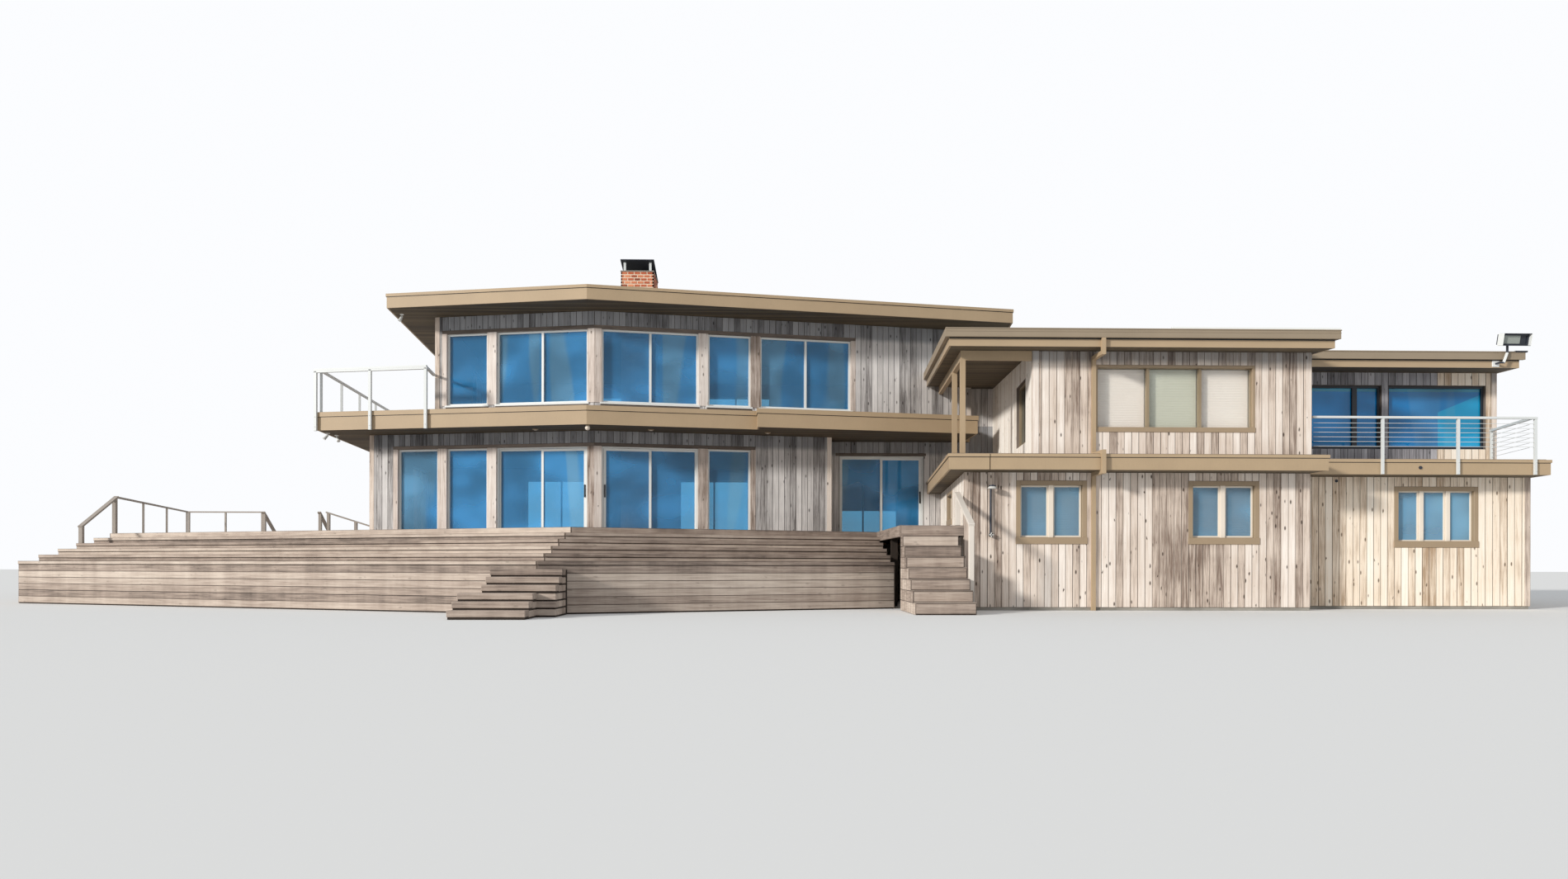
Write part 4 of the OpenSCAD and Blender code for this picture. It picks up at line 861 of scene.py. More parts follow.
# These gather their parts from several walls
posts = Piece("window_posts", post_wood, "cedar_boards")
trims = Piece("head_trims", grey_trim, "tan_trim")
reveals = Piece("opening_linings", grey_trim, "tan_trim")
sills = Piece("white_sills", white_frame, "tan_trim")
corners = Piece("corner_boards", cedar_pale, "cedar_boards")
sashes = Piece("cream_sashes", cream, "white_frame")
blinds = Piece("window_blinds", blind, "white_frame")
green_blind = Piece("green_blind", blind_green, "white_frame")
casings = Piece("wing_casings", taupe, "tan_trim")
# Boards in painted sunlight, on the end block's lower wall and the right of its upper wall
sunlit_boards = Piece("wing_sunlit_boards", cedar_sunlit, "cedar_boards")
# Boards in painted sunlight, on the side walls that face the sun
sunlit_side = Piece("porch_side_boards", cedar_sunlit_side, "cedar_boards")


def mirrored(places, reach):
    """Places measured from one end of a wall, turned to run from its other end."""
    return [(reach - high, reach - low) for low, high in places]


def spans(places, sill, head):
    """Openings that share a sill and a head."""
    return [(low, high, sill, head) for low, high in places]


def linings(place, openings, depth=0.042):
    """Thin boards that line an opening from its boards back to its window frame."""
    thick, out, soft = 0.007, 0.02, 0.001
    for low, high, sill, head in openings:
        bar(reveals, place, low, low + thick, -out, depth, sill, head, soft)
        bar(reveals, place, high - thick, high, -out, depth, sill, head, soft)
        bar(reveals, place, low, high, -out, depth, head - thick, head, soft)


def lined_wall(piece, start, end, z0, z1, openings):
    """A boarded wall with linings in its openings."""
    boarded_wall(piece, start, end, z0, z1, openings)
    linings(wall_frame(start, end)[0], openings)


def glazed_front(piece, start, end, z0, z1, bays, reach, from_corner, sill, head, sill_piece=True):
    """A front facet: posts between its bays, one trim over them all, and boards over and beside them."""
    place, _ = wall_frame(start, end)
    bays = sorted(bays if from_corner else mirrored(bays, reach))
    low, high = (0.0, bays[-1][1]) if from_corner else (bays[0][0], reach)
    jamb, trim_out, cap_out, post_out, lap = 0.10, 0.034, 0.046, 0.028, 0.014
    trim_low, trim_high = (low, high + jamb) if from_corner else (low - jamb, high)
    trim_top = head + HEAD_TRIM
    boarded_wall(piece, start, end, z0, z1, [(trim_low, trim_high, sill, trim_top)])
    bar(trims, place, trim_low - 0.01, trim_high + 0.01, -trim_out, 0.0, head, trim_top)
    bar(trims, place, trim_low - 0.015, trim_high + 0.015, -cap_out, 0.0, trim_top - 0.012, trim_top + 0.004)
    edges = [trim_low] + [edge for bay in bays for edge in bay] + [trim_high]
    for left, right in zip(edges[::2], edges[1::2]):
        if right - left > 0.02:
            bar(posts, place, left - lap, right + lap, -post_out, 0.036, sill, head, 0.006)
    if sill_piece:
        sill_foot = sill - 0.035
        for left, right in bays:
            bar(sills, place, left - 0.03, right + 0.03, -0.055, 0.04, sill_foot, sill + 0.012, 0.005)
            bar(trims, place, left - 0.02, right + 0.02, -0.03, 0.0, sill - 0.075, sill_foot)
    for left, right in bays:
        bar(reveals, place, left, right, -0.03, 0.042, head - 0.008, head, 0.001)


def corner_boards(z0, z1, *turns, cuts=()):
    """Two upright boards at each outer corner, given with the corners before and after it."""
    width, lap = 0.10, 0.022
    for point, before, after in turns:
        beyond = Vector(point) + (Vector(point) - Vector(before))
        for toward, x0, x1 in ((beyond, -width, lap), (after, -lap, width)):
            place, _ = wall_frame(point, toward)
            panel(corners, place, x0, x1, z0, z1, 0.2, thick=0.03, groove=0.003, cuts=cuts, proud=0.003)


def pavilion_lower_boards():
    """Boards, trims and linings on the pavilion's walls at deck level and in its recess."""
    piece = Piece("pavilion_lower_boards", cedar, "cedar_boards")
    z0, z1, head = DECK_Z, BALCONY_Z, LOWER_HEAD
    glazed_front(piece, lower_left, front, z0, z1, [DOOR, BAY_2, BAY_3], LOWER_REACH, False, z0, head, False)
    glazed_front(piece, front, lower_right, z0, z1, [DOOR, BAY_2], LOWER_REACH, True, z0, head, False)
    boarded_wall(piece, lower_right, recess_left, z0, z1)
    boarded_wall(piece, recess_left, recess_right, z0, z1, spans([RECESS_DOOR], z0, head + HEAD_TRIM))
    place, _ = wall_frame(recess_left, recess_right)
    low, high = RECESS_DOOR
    bar(trims, place, low - 0.1, high + 0.06, -0.034, 0.0, head, head + HEAD_TRIM)
    linings(place, spans([RECESS_DOOR], z0, head), 0.02)
    back_left, back_right = back_from(lower_left), Vector((wing_line(PAVILION_BACK), PAVILION_BACK))
    past_wing, foot = WING_BACK + 0.02, z0 - 0.27
    boarded_wall(piece, (wing_line(past_wing), past_wing), back_right, foot, z1)
    lined_wall(piece, back_right, back_left, foot, z1, spans(REAR_LOWER, z0, head))
    lined_wall(piece, back_left, lower_left, z0, z1, spans([SIDE_BAY], z0, head))
    corner_boards(
        z0, z1, (lower_left, back_left, front), (lower_right, front, recess_left),
        (back_left, back_right, lower_left),
    )
    piece.done()


def pavilion_upper_boards():
    """Boards, trims and linings on the pavilion's upper walls."""
    piece = Piece("pavilion_upper_boards", cedar, "cedar_boards")
    z0, z1, sill, head = BALCONY_TOP, ROOF_Z, UPPER_SILL, UPPER_HEAD
    glazed_front(piece, upper_left, front, z0, z1, [DOOR, BAY_2], UPPER_LEFT, False, sill, head)
    glazed_front(piece, front, upper_right, z0, z1, [DOOR, BAY_2, WIDE_3], UPPER_RIGHT, True, sill, head)
    back_left, back_right = back_from(upper_left), Vector((upper_line(PAVILION_BACK), PAVILION_BACK))
    boarded_wall(piece, upper_right, back_right, z0, z1)
    lined_wall(piece, back_right, back_left, z0, z1, spans(REAR_UPPER, sill, head))
    lined_wall(piece, back_left, upper_left, z0, z1, spans([SIDE_BAY], z0, head))
    corner_boards(
        z0, z1, (upper_left, back_left, front), (upper_right, front, back_right),
        (back_right, upper_right, back_left), (back_left, back_right, upper_left),
    )
    piece.done()


def light_spans(low, high, lights, frame_bar):
    """The left edge and the width of each light between a window's bars."""
    width = (high - low - frame_bar * (lights + 1)) / lights
    return [(low + frame_bar + k * (width + frame_bar), width) for k in range(lights)]


def sash_window(place, low, high, sill, head, lights, frame_bar):
    """A cream sash in each light of a wing window, and a cream board over each bar between them."""
    sash, board_face, sash_face, sash_back, soft = 0.034, 0.026, 0.062, 0.112, 0.003
    lap, board_lap = 0.004, 0.006
    places = light_spans(low, high, lights, frame_bar)
    z0, z1 = sill + frame_bar, head - frame_bar
    for (x, width), (after, _) in zip(places, places[1:]):
        x0, x1 = x + width - lap, after + lap
        bar(sashes, place, x0, x1, board_face, sash_face, z0 - board_lap, z1 + board_lap)
    for x, width in places:
        for x0, x1 in ((x, x + sash), (x + width - sash, x + width)):
            bar(sashes, place, x0, x1, sash_face, sash_back, z0, z1, soft)
        for low_z, high_z in ((z0, z0 + sash), (z1 - sash, z1)):
            bar(sashes, place, x + sash, x + width - sash, sash_face, sash_back, low_z, high_z, soft)


def casing(place, low, high, sill, head, width=0.086, out=0.03):
    """Flat tan boards over a wing window's frame, out from the wall boards, with a deeper sill."""
    edge, inner = 0.003, 0.038
    bar(casings, place, low - edge, low + width, -out, inner, sill, head + edge)
    bar(casings, place, high - width, high + edge, -out, inner, sill, head + edge)
    bar(casings, place, low + width, high - width, -out, inner, head - width, head + edge)
    bar(casings, place, low - 0.012, high + 0.012, -out - 0.012, inner, sill - 0.05, sill + width)


def slats(piece, place, low, high, z0, z1):
    """A lowered blind behind the glass."""
    inside = place @ Matrix.Translation((0, 0.17, 0))
    panel(piece, inside, low, high, z0, z1, 0.05, thick=0.006, groove=0.006, lay="along", proud=0.005)


def dressed_wall(piece, start, end, z0, z1, openings, lights, frame_bar, cuts=(), lowered=True):
    """A wing wall with casings, sashes and lowered blinds at its windows."""
    boarded_wall(piece, start, end, z0, z1, openings, cuts=cuts)
    place, _ = wall_frame(start, end)
    for low, high, sill, head in openings:
        casing(place, low, high, sill, head)
        sash_window(place, low, high, sill, head, lights, frame_bar)
        for x, width in light_spans(low, high, lights, frame_bar) if lowered else ():
            slats(blinds, place, x, x + width, sill + frame_bar, head - frame_bar)


def wing_lower_boards():
    """Boards and dressed windows around the lower storey of the wing and its end block."""
    piece = Piece("wing_lower_boards", cedar_pale, "cedar_boards")
    foot, top = 0.06, WING_BAND
    side_run = (WING_BACK - WING_FRONT) / math.cos(WING_SPLAY)
    side_window = spans(mirrored([SIDE_WINDOW], side_run), SIDE_SILL, SIDE_HEAD)
    end_window = spans([END_WINDOW], END_LOWER_SILL, END_LOWER_HEAD)
    for boards, start, end, openings, lights, frame_bar in (
        (piece, wing_left, wing_right, spans(WING_WINDOWS, WING_SILL, WING_HEAD), 2, WING_BAR),
        (piece, wing_right, end_left, [], 0, 0),
        (sunlit_boards, end_left, end_right, end_window, 3, END_BAR),
        (piece, end_right, wing_back_right, [], 0, 0),
        (piece, wing_back_right, wing_back_left, spans(WING_REAR, WING_SILL, WING_HEAD), 2, WING_BAR),
        (sunlit_side, wing_back_left, wing_left, side_window, 1, WING_BAR),
    ):
        dressed_wall(boards, start, end, foot, top, openings, lights, frame_bar)
    corner_boards(
        foot, top, (wing_left, wing_back_left, wing_right), (end_right, end_left, wing_back_right),
        (wing_back_right, end_right, wing_back_left),
    )
    piece.done()


def wing_upper_boards():
    """Boards and dressed windows around their upper storey, and the porch's walls."""
    piece = Piece("wing_upper_boards", cedar_pale, "cedar_boards")
    z0, top = WING_UPPER, 6.4
    sill, head = WING_UPPER_SILL, WING_UPPER_HEAD
    wing_cut, end_cut = [roof_cut(WING_EAVES, WING_ROOF)], [roof_cut(END_EAVES, WING_ROOF)]
    back_left = Vector((upper_line(WING_BACK), WING_BACK))
    boarded_wall(piece, porch_front, wing_right, z0, top, [(*UPPER_WINDOW, sill, head)], cuts=wing_cut)
    place, _ = wall_frame(porch_front, wing_right)
    casing(place, *UPPER_WINDOW, sill, head, width=0.05, out=0.026)
    triple = light_spans(*UPPER_WINDOW, 3, TRIPLE_BAR)
    for (x, width), hung in zip(triple, (blinds, green_blind, blinds)):
        slats(hung, place, x, x + width, sill + TRIPLE_BAR, head - TRIPLE_BAR)
    boarded_wall(piece, wing_right, upper_end_left, z0, top, cuts=wing_cut)

    # Past this run the boards get paler painted sunlight, and before it painted shade
    shaded_run = 4.04
    shaded = Piece("end_upper_boards", cedar_shaded, "cedar_boards")
    sunlit_from = Vector((WING_RIGHT + shaded_run, END_UPPER_FRONT))
    near = spans([END_LEFT_UNIT, (END_RIGHT_UNIT[0], shaded_run)], END_SILL, head)
    beyond = spans([(0.0, END_RIGHT_UNIT[1] - shaded_run)], END_SILL, head)
    boarded_wall(shaded, upper_end_left, sunlit_from, z0, top, near, cuts=end_cut)
    boarded_wall(sunlit_boards, sunlit_from, upper_end_right, z0, top, beyond, cuts=end_cut)
    shaded.done()
    place, _ = wall_frame(upper_end_left, upper_end_right)
    linings(place, spans([END_LEFT_UNIT, END_RIGHT_UNIT], END_SILL, head))

    boarded_wall(piece, upper_end_right, wing_back_right, z0, top, cuts=end_cut)
    rear = spans(WING_REAR, sill, head)
    dressed_wall(piece, wing_back_right, back_left, z0, top, rear, 2, WING_BAR, end_cut, lowered=False)
    porch_window = [(*PORCH_WINDOW, PORCH_SILL, PORCH_HEAD)]
    boarded_wall(sunlit_side, porch_back, porch_front, z0, top, porch_window, cuts=wing_cut)
    sunlit_boards.done()
    sunlit_side.done()
    linings(wall_frame(porch_back, porch_front)[0], porch_window)
    piece.done()
    corner_boards(
        z0, top, (porch_front, porch_back, wing_right), (wing_right, porch_front, upper_end_left),
        cuts=wing_cut,
    )
    corner_boards(
        z0, top, (upper_end_right, upper_end_left, wing_back_right),
        (wing_back_right, upper_end_right, back_left), cuts=end_cut,
    )
    piece = Piece("porch_back_boards", cedar, "cedar_boards")
    upper_recess = Vector((upper_line(RECESS_Y), RECESS_Y))
    boarded_wall(piece, upper_recess, porch_back, z0, top, cuts=wing_cut)
    boarded_wall(piece, recess_right, upper_recess, z0, BALCONY_Z)
    piece.done()


def lay_flat(piece, origin, z, along, back, x_span, back_span, cuts, width=0.14, thick=0.012):
    """Boards laid flat, with X along them, Z back across them and Y down. The cuts trim their spans."""
    place = frame_at((origin[0], origin[1], z), (*along, 0), (*back, 0))
    panel(
        piece, place, *x_span, *back_span, width,
        thick=thick, groove=0.005, lay="along", cuts=cuts, proud=0.007,
    )


def deck_sides():
    """For each side of the deck's corner: along, back, the span along it and its cuts."""
    cos, sin = math.cos(DECK_ANGLE), math.sin(DECK_ANGLE)
    return [
        (Vector((cos, -sin)), Vector((sin, cos)), (-22, 2.5), MIDDLE_LEFT, left_of(-DECK_LEFT)),
        (Vector((cos, sin)), Vector((-sin, cos)), (-2.5, 9.5), MIDDLE_RIGHT, right_of(tiers_right)),
    ]


def deck_boards():
    """Boards on the deck, laid parallel to its two front edges, and boards on its rims."""
    piece = Piece("deck_top_boards", deck_wood, "deck_boards")

    def lay(side, depth, *cuts):
        lay_flat(piece, deck_corner, DECK_Z, *side[:3], (0, depth), cuts)

    left, right = deck_sides()
    rims = edge_cut(deck_back_left, deck_front_left), behind(PAVILION_BACK)
    facet = edge_cut(front, lower_left)
    lay(left, 14, MIDDLE_LEFT, *rims, facet)
    lay(left, 14, *rims, other_side(facet), edge_cut(lower_left, back_from(lower_left)))
    facet, walk = edge_cut(lower_right, front), right_of(walk_left)
    lay(right, 9, MIDDLE_RIGHT, walk, facet)
    lay(right, 9, left_of(lower_right.x), walk, behind(RECESS_Y), other_side(facet))
    wing_side = [edge_cut(wing_left, recess_right)]
    walk_run = (0, RECESS_Y - WING_FRONT)
    lay_flat(piece, (walk_left, WING_FRONT), DECK_Z, (1, 0), (0, 1), (0, 2.2), walk_run, wing_side)
    piece.done()

    piece = Piece("deck_edge_boards", deck_wood, "deck_boards")
    for along, _, span, middle, _ in deck_sides():
        place = frame_at((*deck_corner, 0), (*along, 0))
        cuts = [middle, left_of(-DECK_LEFT), walk]
        panel(piece, place, *span, DECK_Z - 0.13, DECK_TOP, 0.3, thick=0.02, lay="along", cuts=cuts)
    for start, end in (
        (deck_back_left, deck_front_left), ((DECK_REAR_RIGHT, PAVILION_BACK), deck_back_left),
        ((walk_left, deck_edge(walk_left)), (walk_left, WING_FRONT)),
    ):
        face_boards(piece, start, end, DECK_Z - 0.22, DECK_TOP, 0.3, 0.03)
    piece.done()


def tier_boards():
    """Four boards on each long step, and a nosing and boards on its face and its ends."""
    piece = Piece("long_step_boards", deck_wood, "deck_boards")
    tread, gap = TIER_RUN / 4, 0.006
    for k in range(1, TIERS + 1):
        top = DECK_Z - k * TIER_RISE
        low = top - TIER_RISE if k < TIERS else 0.0
        for along, back, span, *cuts in deck_sides():
            for part in range(4):
                at = -k * TIER_RUN + part * tread
                lay_flat(
                    piece, deck_corner, top, along, back, span, (at, at + tread - gap), cuts, 0.16, 0.022
                )
            place = frame_at((*(deck_corner - k * TIER_RUN * back), 0), (*along, 0))
            panel(
                piece, place, *span, top - 0.05, top + 0.022, 0.3,
                thick=0.034, lay="along", cuts=cuts, proud=0.006,
            )
            panel(piece, place, *span, low + 0.022, top - 0.056, 0.14, thick=0.016, lay="along", cuts=cuts)
        for x in (-DECK_LEFT, tiers_right):
            near = deck_edge(x) - k * TIER_RUN / math.cos(DECK_ANGLE)
            far = near + TIER_RUN / math.cos(DECK_ANGLE)
            start, end = (far, near) if x < 0 else (near, far)
            face_boards(piece, (x, start), (x, end), 0, top, 0.15, 0.02)
    piece.done()


def stepped_boards(piece, origin, along, back, width, count, rise, run):
    """Treads, risers and side boards over a flight whose solid steps rise backward to its origin."""
    along, back, origin = Vector(along), Vector(back), Vector(origin)
    gap, nosing = 0.006, 0.02
    for k in range(1, count + 1):
        top = (count + 1 - k) * rise
        near, far = origin - k * run * back, origin - (k - 1) * run * back
        for tread in ((-nosing, run / 2 - gap), (run / 2, run - gap)):
            lay_flat(piece, near, top, along, back, (0, width), tread, [], 0.2, 0.016)
        place = frame_at((*near, 0), (*along, 0))
        panel(piece, place, 0, width, top - rise + 0.02, top - 0.004, 0.3, thick=0.014, lay="along")
        for start, end in ((far, near), (near + width * along, far + width * along)):
            face_boards(piece, start, end, 0, top, 0.2, 0.012)


def stair_boards():
    """Boards on the side steps and on the back stair."""
    piece = Piece("side_step_boards", deck_wood, "deck_boards")
    start = (walk_left, WING_FRONT)
    stepped_boards(piece, start, (1, 0), (0, 1), SIDE_STEP_WIDTH, 7, DECK_Z / 8, STEP_RUN)
    place, _ = wall_frame(start, wing_left)
    run = WING_LEFT - walk_left - 0.03
    panel(piece, place, 0.0, run, DECK_Z - 0.20, DECK_TOP, 0.3, thick=0.02, lay="along")
    piece.done()
    piece = Piece("back_stair_boards", deck_wood, "deck_boards")
    left, width = -12.78, 1.75
    stepped_boards(piece, (left + width, PAVILION_BACK), (-1, 0), (0, -1), width, 8, DECK_Z / 9, 0.25)
    piece.done()


def sand_timbers():
    """Thick timbers stacked under each step, with dark gaps between them, where the solid under them shows in
    painted shade.
    """
    piece = Piece("sand_step_timbers", deck_wood, "deck_boards")
    count, width, left, lower_from, lower_left_edge = 6, 1.26, -0.75, 4, -1.08
    rise = (DECK_Z - TIERS * TIER_RISE) / (count + 1)
    y_top = -DECK_REACH - TIERS * TIER_RUN / math.cos(DECK_ANGLE) - 0.004
    for k in range(1, count + 1):
        x0 = lower_left_edge if k >= lower_from else left
        x1, y0 = x0 + width, y_top - k * STEP_RUN
        y1 = y0 + STEP_RUN
        for level in range(count + 1 - k):
            top = (level + 1) * rise + (0.012 if level == count - k else 0)
            bar(piece, HOUSE, x0 - 0.012, x1 + 0.012, y0 - 0.022, y1 - 0.01, top - 0.107, top, 0.008)
    piece.done()


def chimney_bricks():
    """Courses of bricks around the chimney's four sides, its crown, and covers on its cap's posts."""
    piece = Piece("chimney_bricks", brick, "brick")
    course, joint, proud, aim = 0.0846, 0.026, 0.008, 0.17
    left, right = CHIMNEY_X, CHIMNEY_X + CHIMNEY_W
    low, high = CHIMNEY_Y, CHIMNEY_Y + CHIMNEY_D
    around = [(left, low), (right, low), (right, high), (left, high), (left, low)]
    rows = int((CHIMNEY_TOP - ROOF_TOP + 0.07) / course)
    for start, end in zip(around, around[1:]):
        place, run = wall_frame(start, end)
        count = round(run / aim)
        length = run / count
        for row in range(rows):
            z0 = CHIMNEY_TOP - (row + 1) * course + joint / 2
            z1 = z0 + course - joint
            shift = length / 2 if row % 2 else 0.0
            marks = [shift + k * length for k in range(count + 1)]
            edges = sorted({0.0, run, *[mark for mark in marks if 0 < mark < run]})
            for x0, x1 in zip(edges, edges[1:]):
                x0 = x0 + joint / 2 if x0 > 0 else -proud
                x1 = x1 - joint / 2 if x1 < run else run + proud
                bar(piece, place, x0, x1, -proud, 0.03, z0, z1, 0.003)
    piece.done()
    top = CHIMNEY_TOP
    piece = Piece("chimney_crown", concrete, "brick")
    bar(piece, HOUSE, left - 0.02, right + 0.02, low - 0.02, high + 0.02, top - 0.004, top + 0.025, 0.006)
    piece.done()
    piece = Piece("cap_posts", rail_grey, "pale_metal")
    for x in (left + 0.06, right - 0.12):
        bar(piece, HOUSE, x - 0.003, x + 0.063, low + 0.057, low + 0.078, top, top + 0.268, 0.002)
    piece.done()


def roofing_sheets():
    """Sheets on the pavilion's roof and on the two pitched roofs."""
    piece = Piece("roof_covering", roofing, "concrete")

    def wing_sheets(eaves, x0, x1, low, high, cuts):
        slope = (0, math.cos(ROOF_PITCH), math.sin(ROOF_PITCH))
        place = frame_at((0, eaves, GUTTER_TOP - 0.06), (1, 0, 0), slope)
        panel(
            piece, place, x0, x1, low, high, 1.0,
            thick=0.008, groove=0.005, lay="along", cuts=cuts, proud=0.006,
        )

    # The sheets are laid past the roofs on all sides, then cut back to them
    inner = [(point - 0.13 * normal, normal) for point, normal in outline_cuts(roof_outline)]
    lay_flat(piece, front, ROOF_TOP - 0.07, (1, 0), (0, 1), (-8, 14), (-1.3, 11.2), inner, 1.0, 0.008)
    back = WING_BACK + 0.6
    facet, pavilion_side = edge_cut(upper_right, front), edge_cut((upper_line(back), back), upper_right)
    left_side = edge_cut(facet_point(1, 8.5), (EAVES_LEFT, WING_EAVES))
    rims = [right_of(EAVES_RIGHT - 0.04), behind(back - 0.04)]
    for cuts in ([facet, left_side, *rims], [other_side(facet), pavilion_side, *rims]):
        wing_sheets(WING_EAVES, 7, 16, 0.03, 10, cuts)
    right_side = edge_cut((end_line(END_EAVES) + 0.04, END_EAVES), wing_back_right)
    wing_sheets(END_EAVES, WING_RIGHT + 0.34, 23, 0.04, WING_BACK - END_EAVES - 0.02, [right_side])
    piece.done()


def balcony_boards():
    """Floor boards on the balconies of the pavilion, the porch and the end block."""
    piece = Piece("balcony_floor_boards", deck_wood, "deck_boards")

    def lay(side, x_span, back_span, *cuts):
        lay_flat(piece, front, BALCONY_TOP, *side, x_span, back_span, cuts)

    cos, sin = math.cos(FACET), math.sin(FACET)
    left_side = (front - lower_left).normalized(), Vector((sin, cos))
    edge, wall = edge_cut(band_back_left, band_left), edge_cut(upper_left, back_from(upper_left))
    facet = edge_cut(front, upper_left)
    lay(left_side, (-9, 1), (-1.06, 0), MIDDLE_LEFT, edge, facet)
    lay(left_side, (-12, 1), (0, 14), edge, behind(PAVILION_BACK - 0.05), wall, other_side(facet))
    right_side = Vector((cos, sin)), Vector((-sin, cos))
    lay(right_side, (-1, BAND_STEP_AT), (-1.06, 0), MIDDLE_RIGHT)
    lay(right_side, (BAND_STEP_AT, UPPER_RIGHT - 0.48), (-1.5, 0))
    piece.done()

    piece = Piece("wing_balcony_boards", deck_wood, "deck_boards")

    def lay_wing(x, y, x_span, back_span, *cuts):
        lay_flat(piece, (x, y), WING_UPPER, (1, 0), (0, 1), x_span, back_span, cuts)

    end_side = edge_cut((end_line(END_BAND) + 0.05, END_BAND), wing_back_right)
    porch_side = edge_cut(porch_band_back, (EAVES_LEFT, WING_EAVES))
    porch_depth = (0, RECESS_Y - WING_FRONT)
    lay_wing(WING_RIGHT, END_BAND, (0.1, 8), (0.02, 1.97), end_side)
    lay_wing(7, WING_FRONT, (0, 4), porch_depth, porch_side, edge_cut(porch_front, porch_back))
    lay_wing(7, WING_EAVES, (0.75, WING_RIGHT - 7), (0.02, 0.6))
    piece.done()


def fascia_shadow_lines():
    """A painted shadow: a dark strip under each upper tier of the fascias, at its joint."""
    piece = Piece("fascia_shadow_lines", black, "tan_trim")
    balcony_joint, roof_joint, wing_joint = BALCONY_TOP - 0.11, ROOF_TOP - 0.07, WING_UPPER - 0.06
    balcony = [
        band_left, corner_out(OVERHANG), facet_point(1, BAND_STEP_AT, OVERHANG),
        facet_point(1, BAND_STEP_AT - 0.07, OVERHANG + BAND_STEP), band_right,
    ]
    wing = [
        (EAVES_LEFT, WING_EAVES), (WING_RIGHT + 0.06, WING_EAVES), (WING_RIGHT + 0.06, END_BAND),
        (end_line(END_BAND) + 0.13, END_BAND), (end_line(WING_BACK) + 0.04, WING_BACK),
    ]
    lines = [(band_left, band_back_left, balcony_joint), (roof_outline[4], roof_outline[0], roof_joint)]
    for outline, z in ((balcony, balcony_joint), (roof_outline, roof_joint), (wing, wing_joint)):
        lines += [(start, end, z) for start, end in zip(outline, outline[1:])]
    lines.append((porch_band_back, wing[0], wing_joint))
    for start, end, z in lines:
        edge_bar(piece, start, end, 0.003, -0.006, 0.004, z - 0.012, z + 0.002, 0.001)
    piece.done()


def gutters():
    """Rolled lips and straps on the gutters, a painted shadow in the gap under them, and the flashing over
    the right half.
    """
    low, high, wing_y, end_y = GUTTER_FOOT, GUTTER_TOP, WING_EAVES - GUTTER_OUT, END_EAVES - GUTTER_OUT
    piece = Piece("gutter_lips", wing_edge, "tan_trim")
    left, right = (EAVES_LEFT - GUTTER_OUT, wing_y), (EAVES_RIGHT + GUTTER_OUT, wing_y)
    edge_bar(piece, left, right, 0.01, -0.014, 0.012, high - 0.016, high + 0.006, 0.006)
    edge_bar(piece, left, right, 0.004, -0.006, 0.02, high - 0.07, high - 0.05, 0.004)
    edge_bar(piece, left, right, -0.004, -0.005, 0.02, low - 0.002, low + 0.02, 0.004)
    left, right = (WING_RIGHT + 0.31, end_y), (end_line(END_EAVES) + 0.18, end_y)
    edge_bar(piece, left, right, 0.0, -0.014, 0.004, high - 0.024, high + 0.001, 0.006)
    piece.done()
    piece = Piece("gutter_shadow", black, "tan_trim")
    left, right = (EAVES_LEFT, WING_EAVES), (EAVES_RIGHT, WING_EAVES)
    edge_bar(piece, left, right, 0.0, -0.012, 0.0, low - 0.026, low - 0.002, 0.002)
    left, right = (WING_RIGHT + 0.3, END_EAVES), (end_line(END_EAVES) + 0.08, END_EAVES)
    edge_bar(piece, left, right, 0.0, -0.010, 0.0, low - 0.022, low - 0.002, 0.002)
    piece.done()
    piece = Piece("gutter_flashing", white_frame, "tan_trim")
    place, _ = wall_frame((0, wing_y), (20, wing_y))
    bar(piece, place, 12.1, WING_RIGHT + 0.25, 0.004, 0.05, high - 0.01, high + 0.045, 0.003)
    piece.done()


def wall_vents():
    """Small round dark vents on the end block's band and under it, and painted shade in the open end of its
    gutter.
    """
    piece = Piece("wall_vents", dark_sheet, "dark_metal")
    for x, y, z in ((17.59, END_BAND, 2.93), (16.17, END_FRONT - 0.012, 2.70)):
        rod(piece, at_point(x, y, z, OUTWARD), 0.036, 0.02, 0.030, 20)
    # Painted shade: a dark patch in the open end of the gutter
    x, y, z = end_line(END_EAVES) + 0.17, END_EAVES, GUTTER_TOP
    bar(piece, HOUSE, x - 0.24, x + 0.03, y - 0.10, y + 0.02, z - 0.02, z + 0.014, 0.004)
    piece.done()


def spotlights():
    """Small white bullet lamps under the left corners of the roof and the balcony."""
    piece = Piece("corner_spotlights", white_frame, "white_frame")
    for x, y, z, aim in (
        (-4.80, 0.48, ROOF_Z, (-0.30, -0.35, -0.9)), (-6.70, 0.72, BALCONY_Z, (-0.5, -0.4, -0.7)),
        (-6.66, 1.15, BALCONY_Z, (0.5, -0.4, -0.7)),
    ):
        rod(piece, at_point(x, y, z + 0.001, DOWN), 0.05, 0.018, 0.045, 20)
        rod(piece, at_point(x, y, z - 0.01, DOWN), 0.010, 0.06, 0.010, 10)
        rod(piece, at_point(x, y, z - 0.05, aim), 0.026, 0.14, 0.044, 20)
    piece.done()


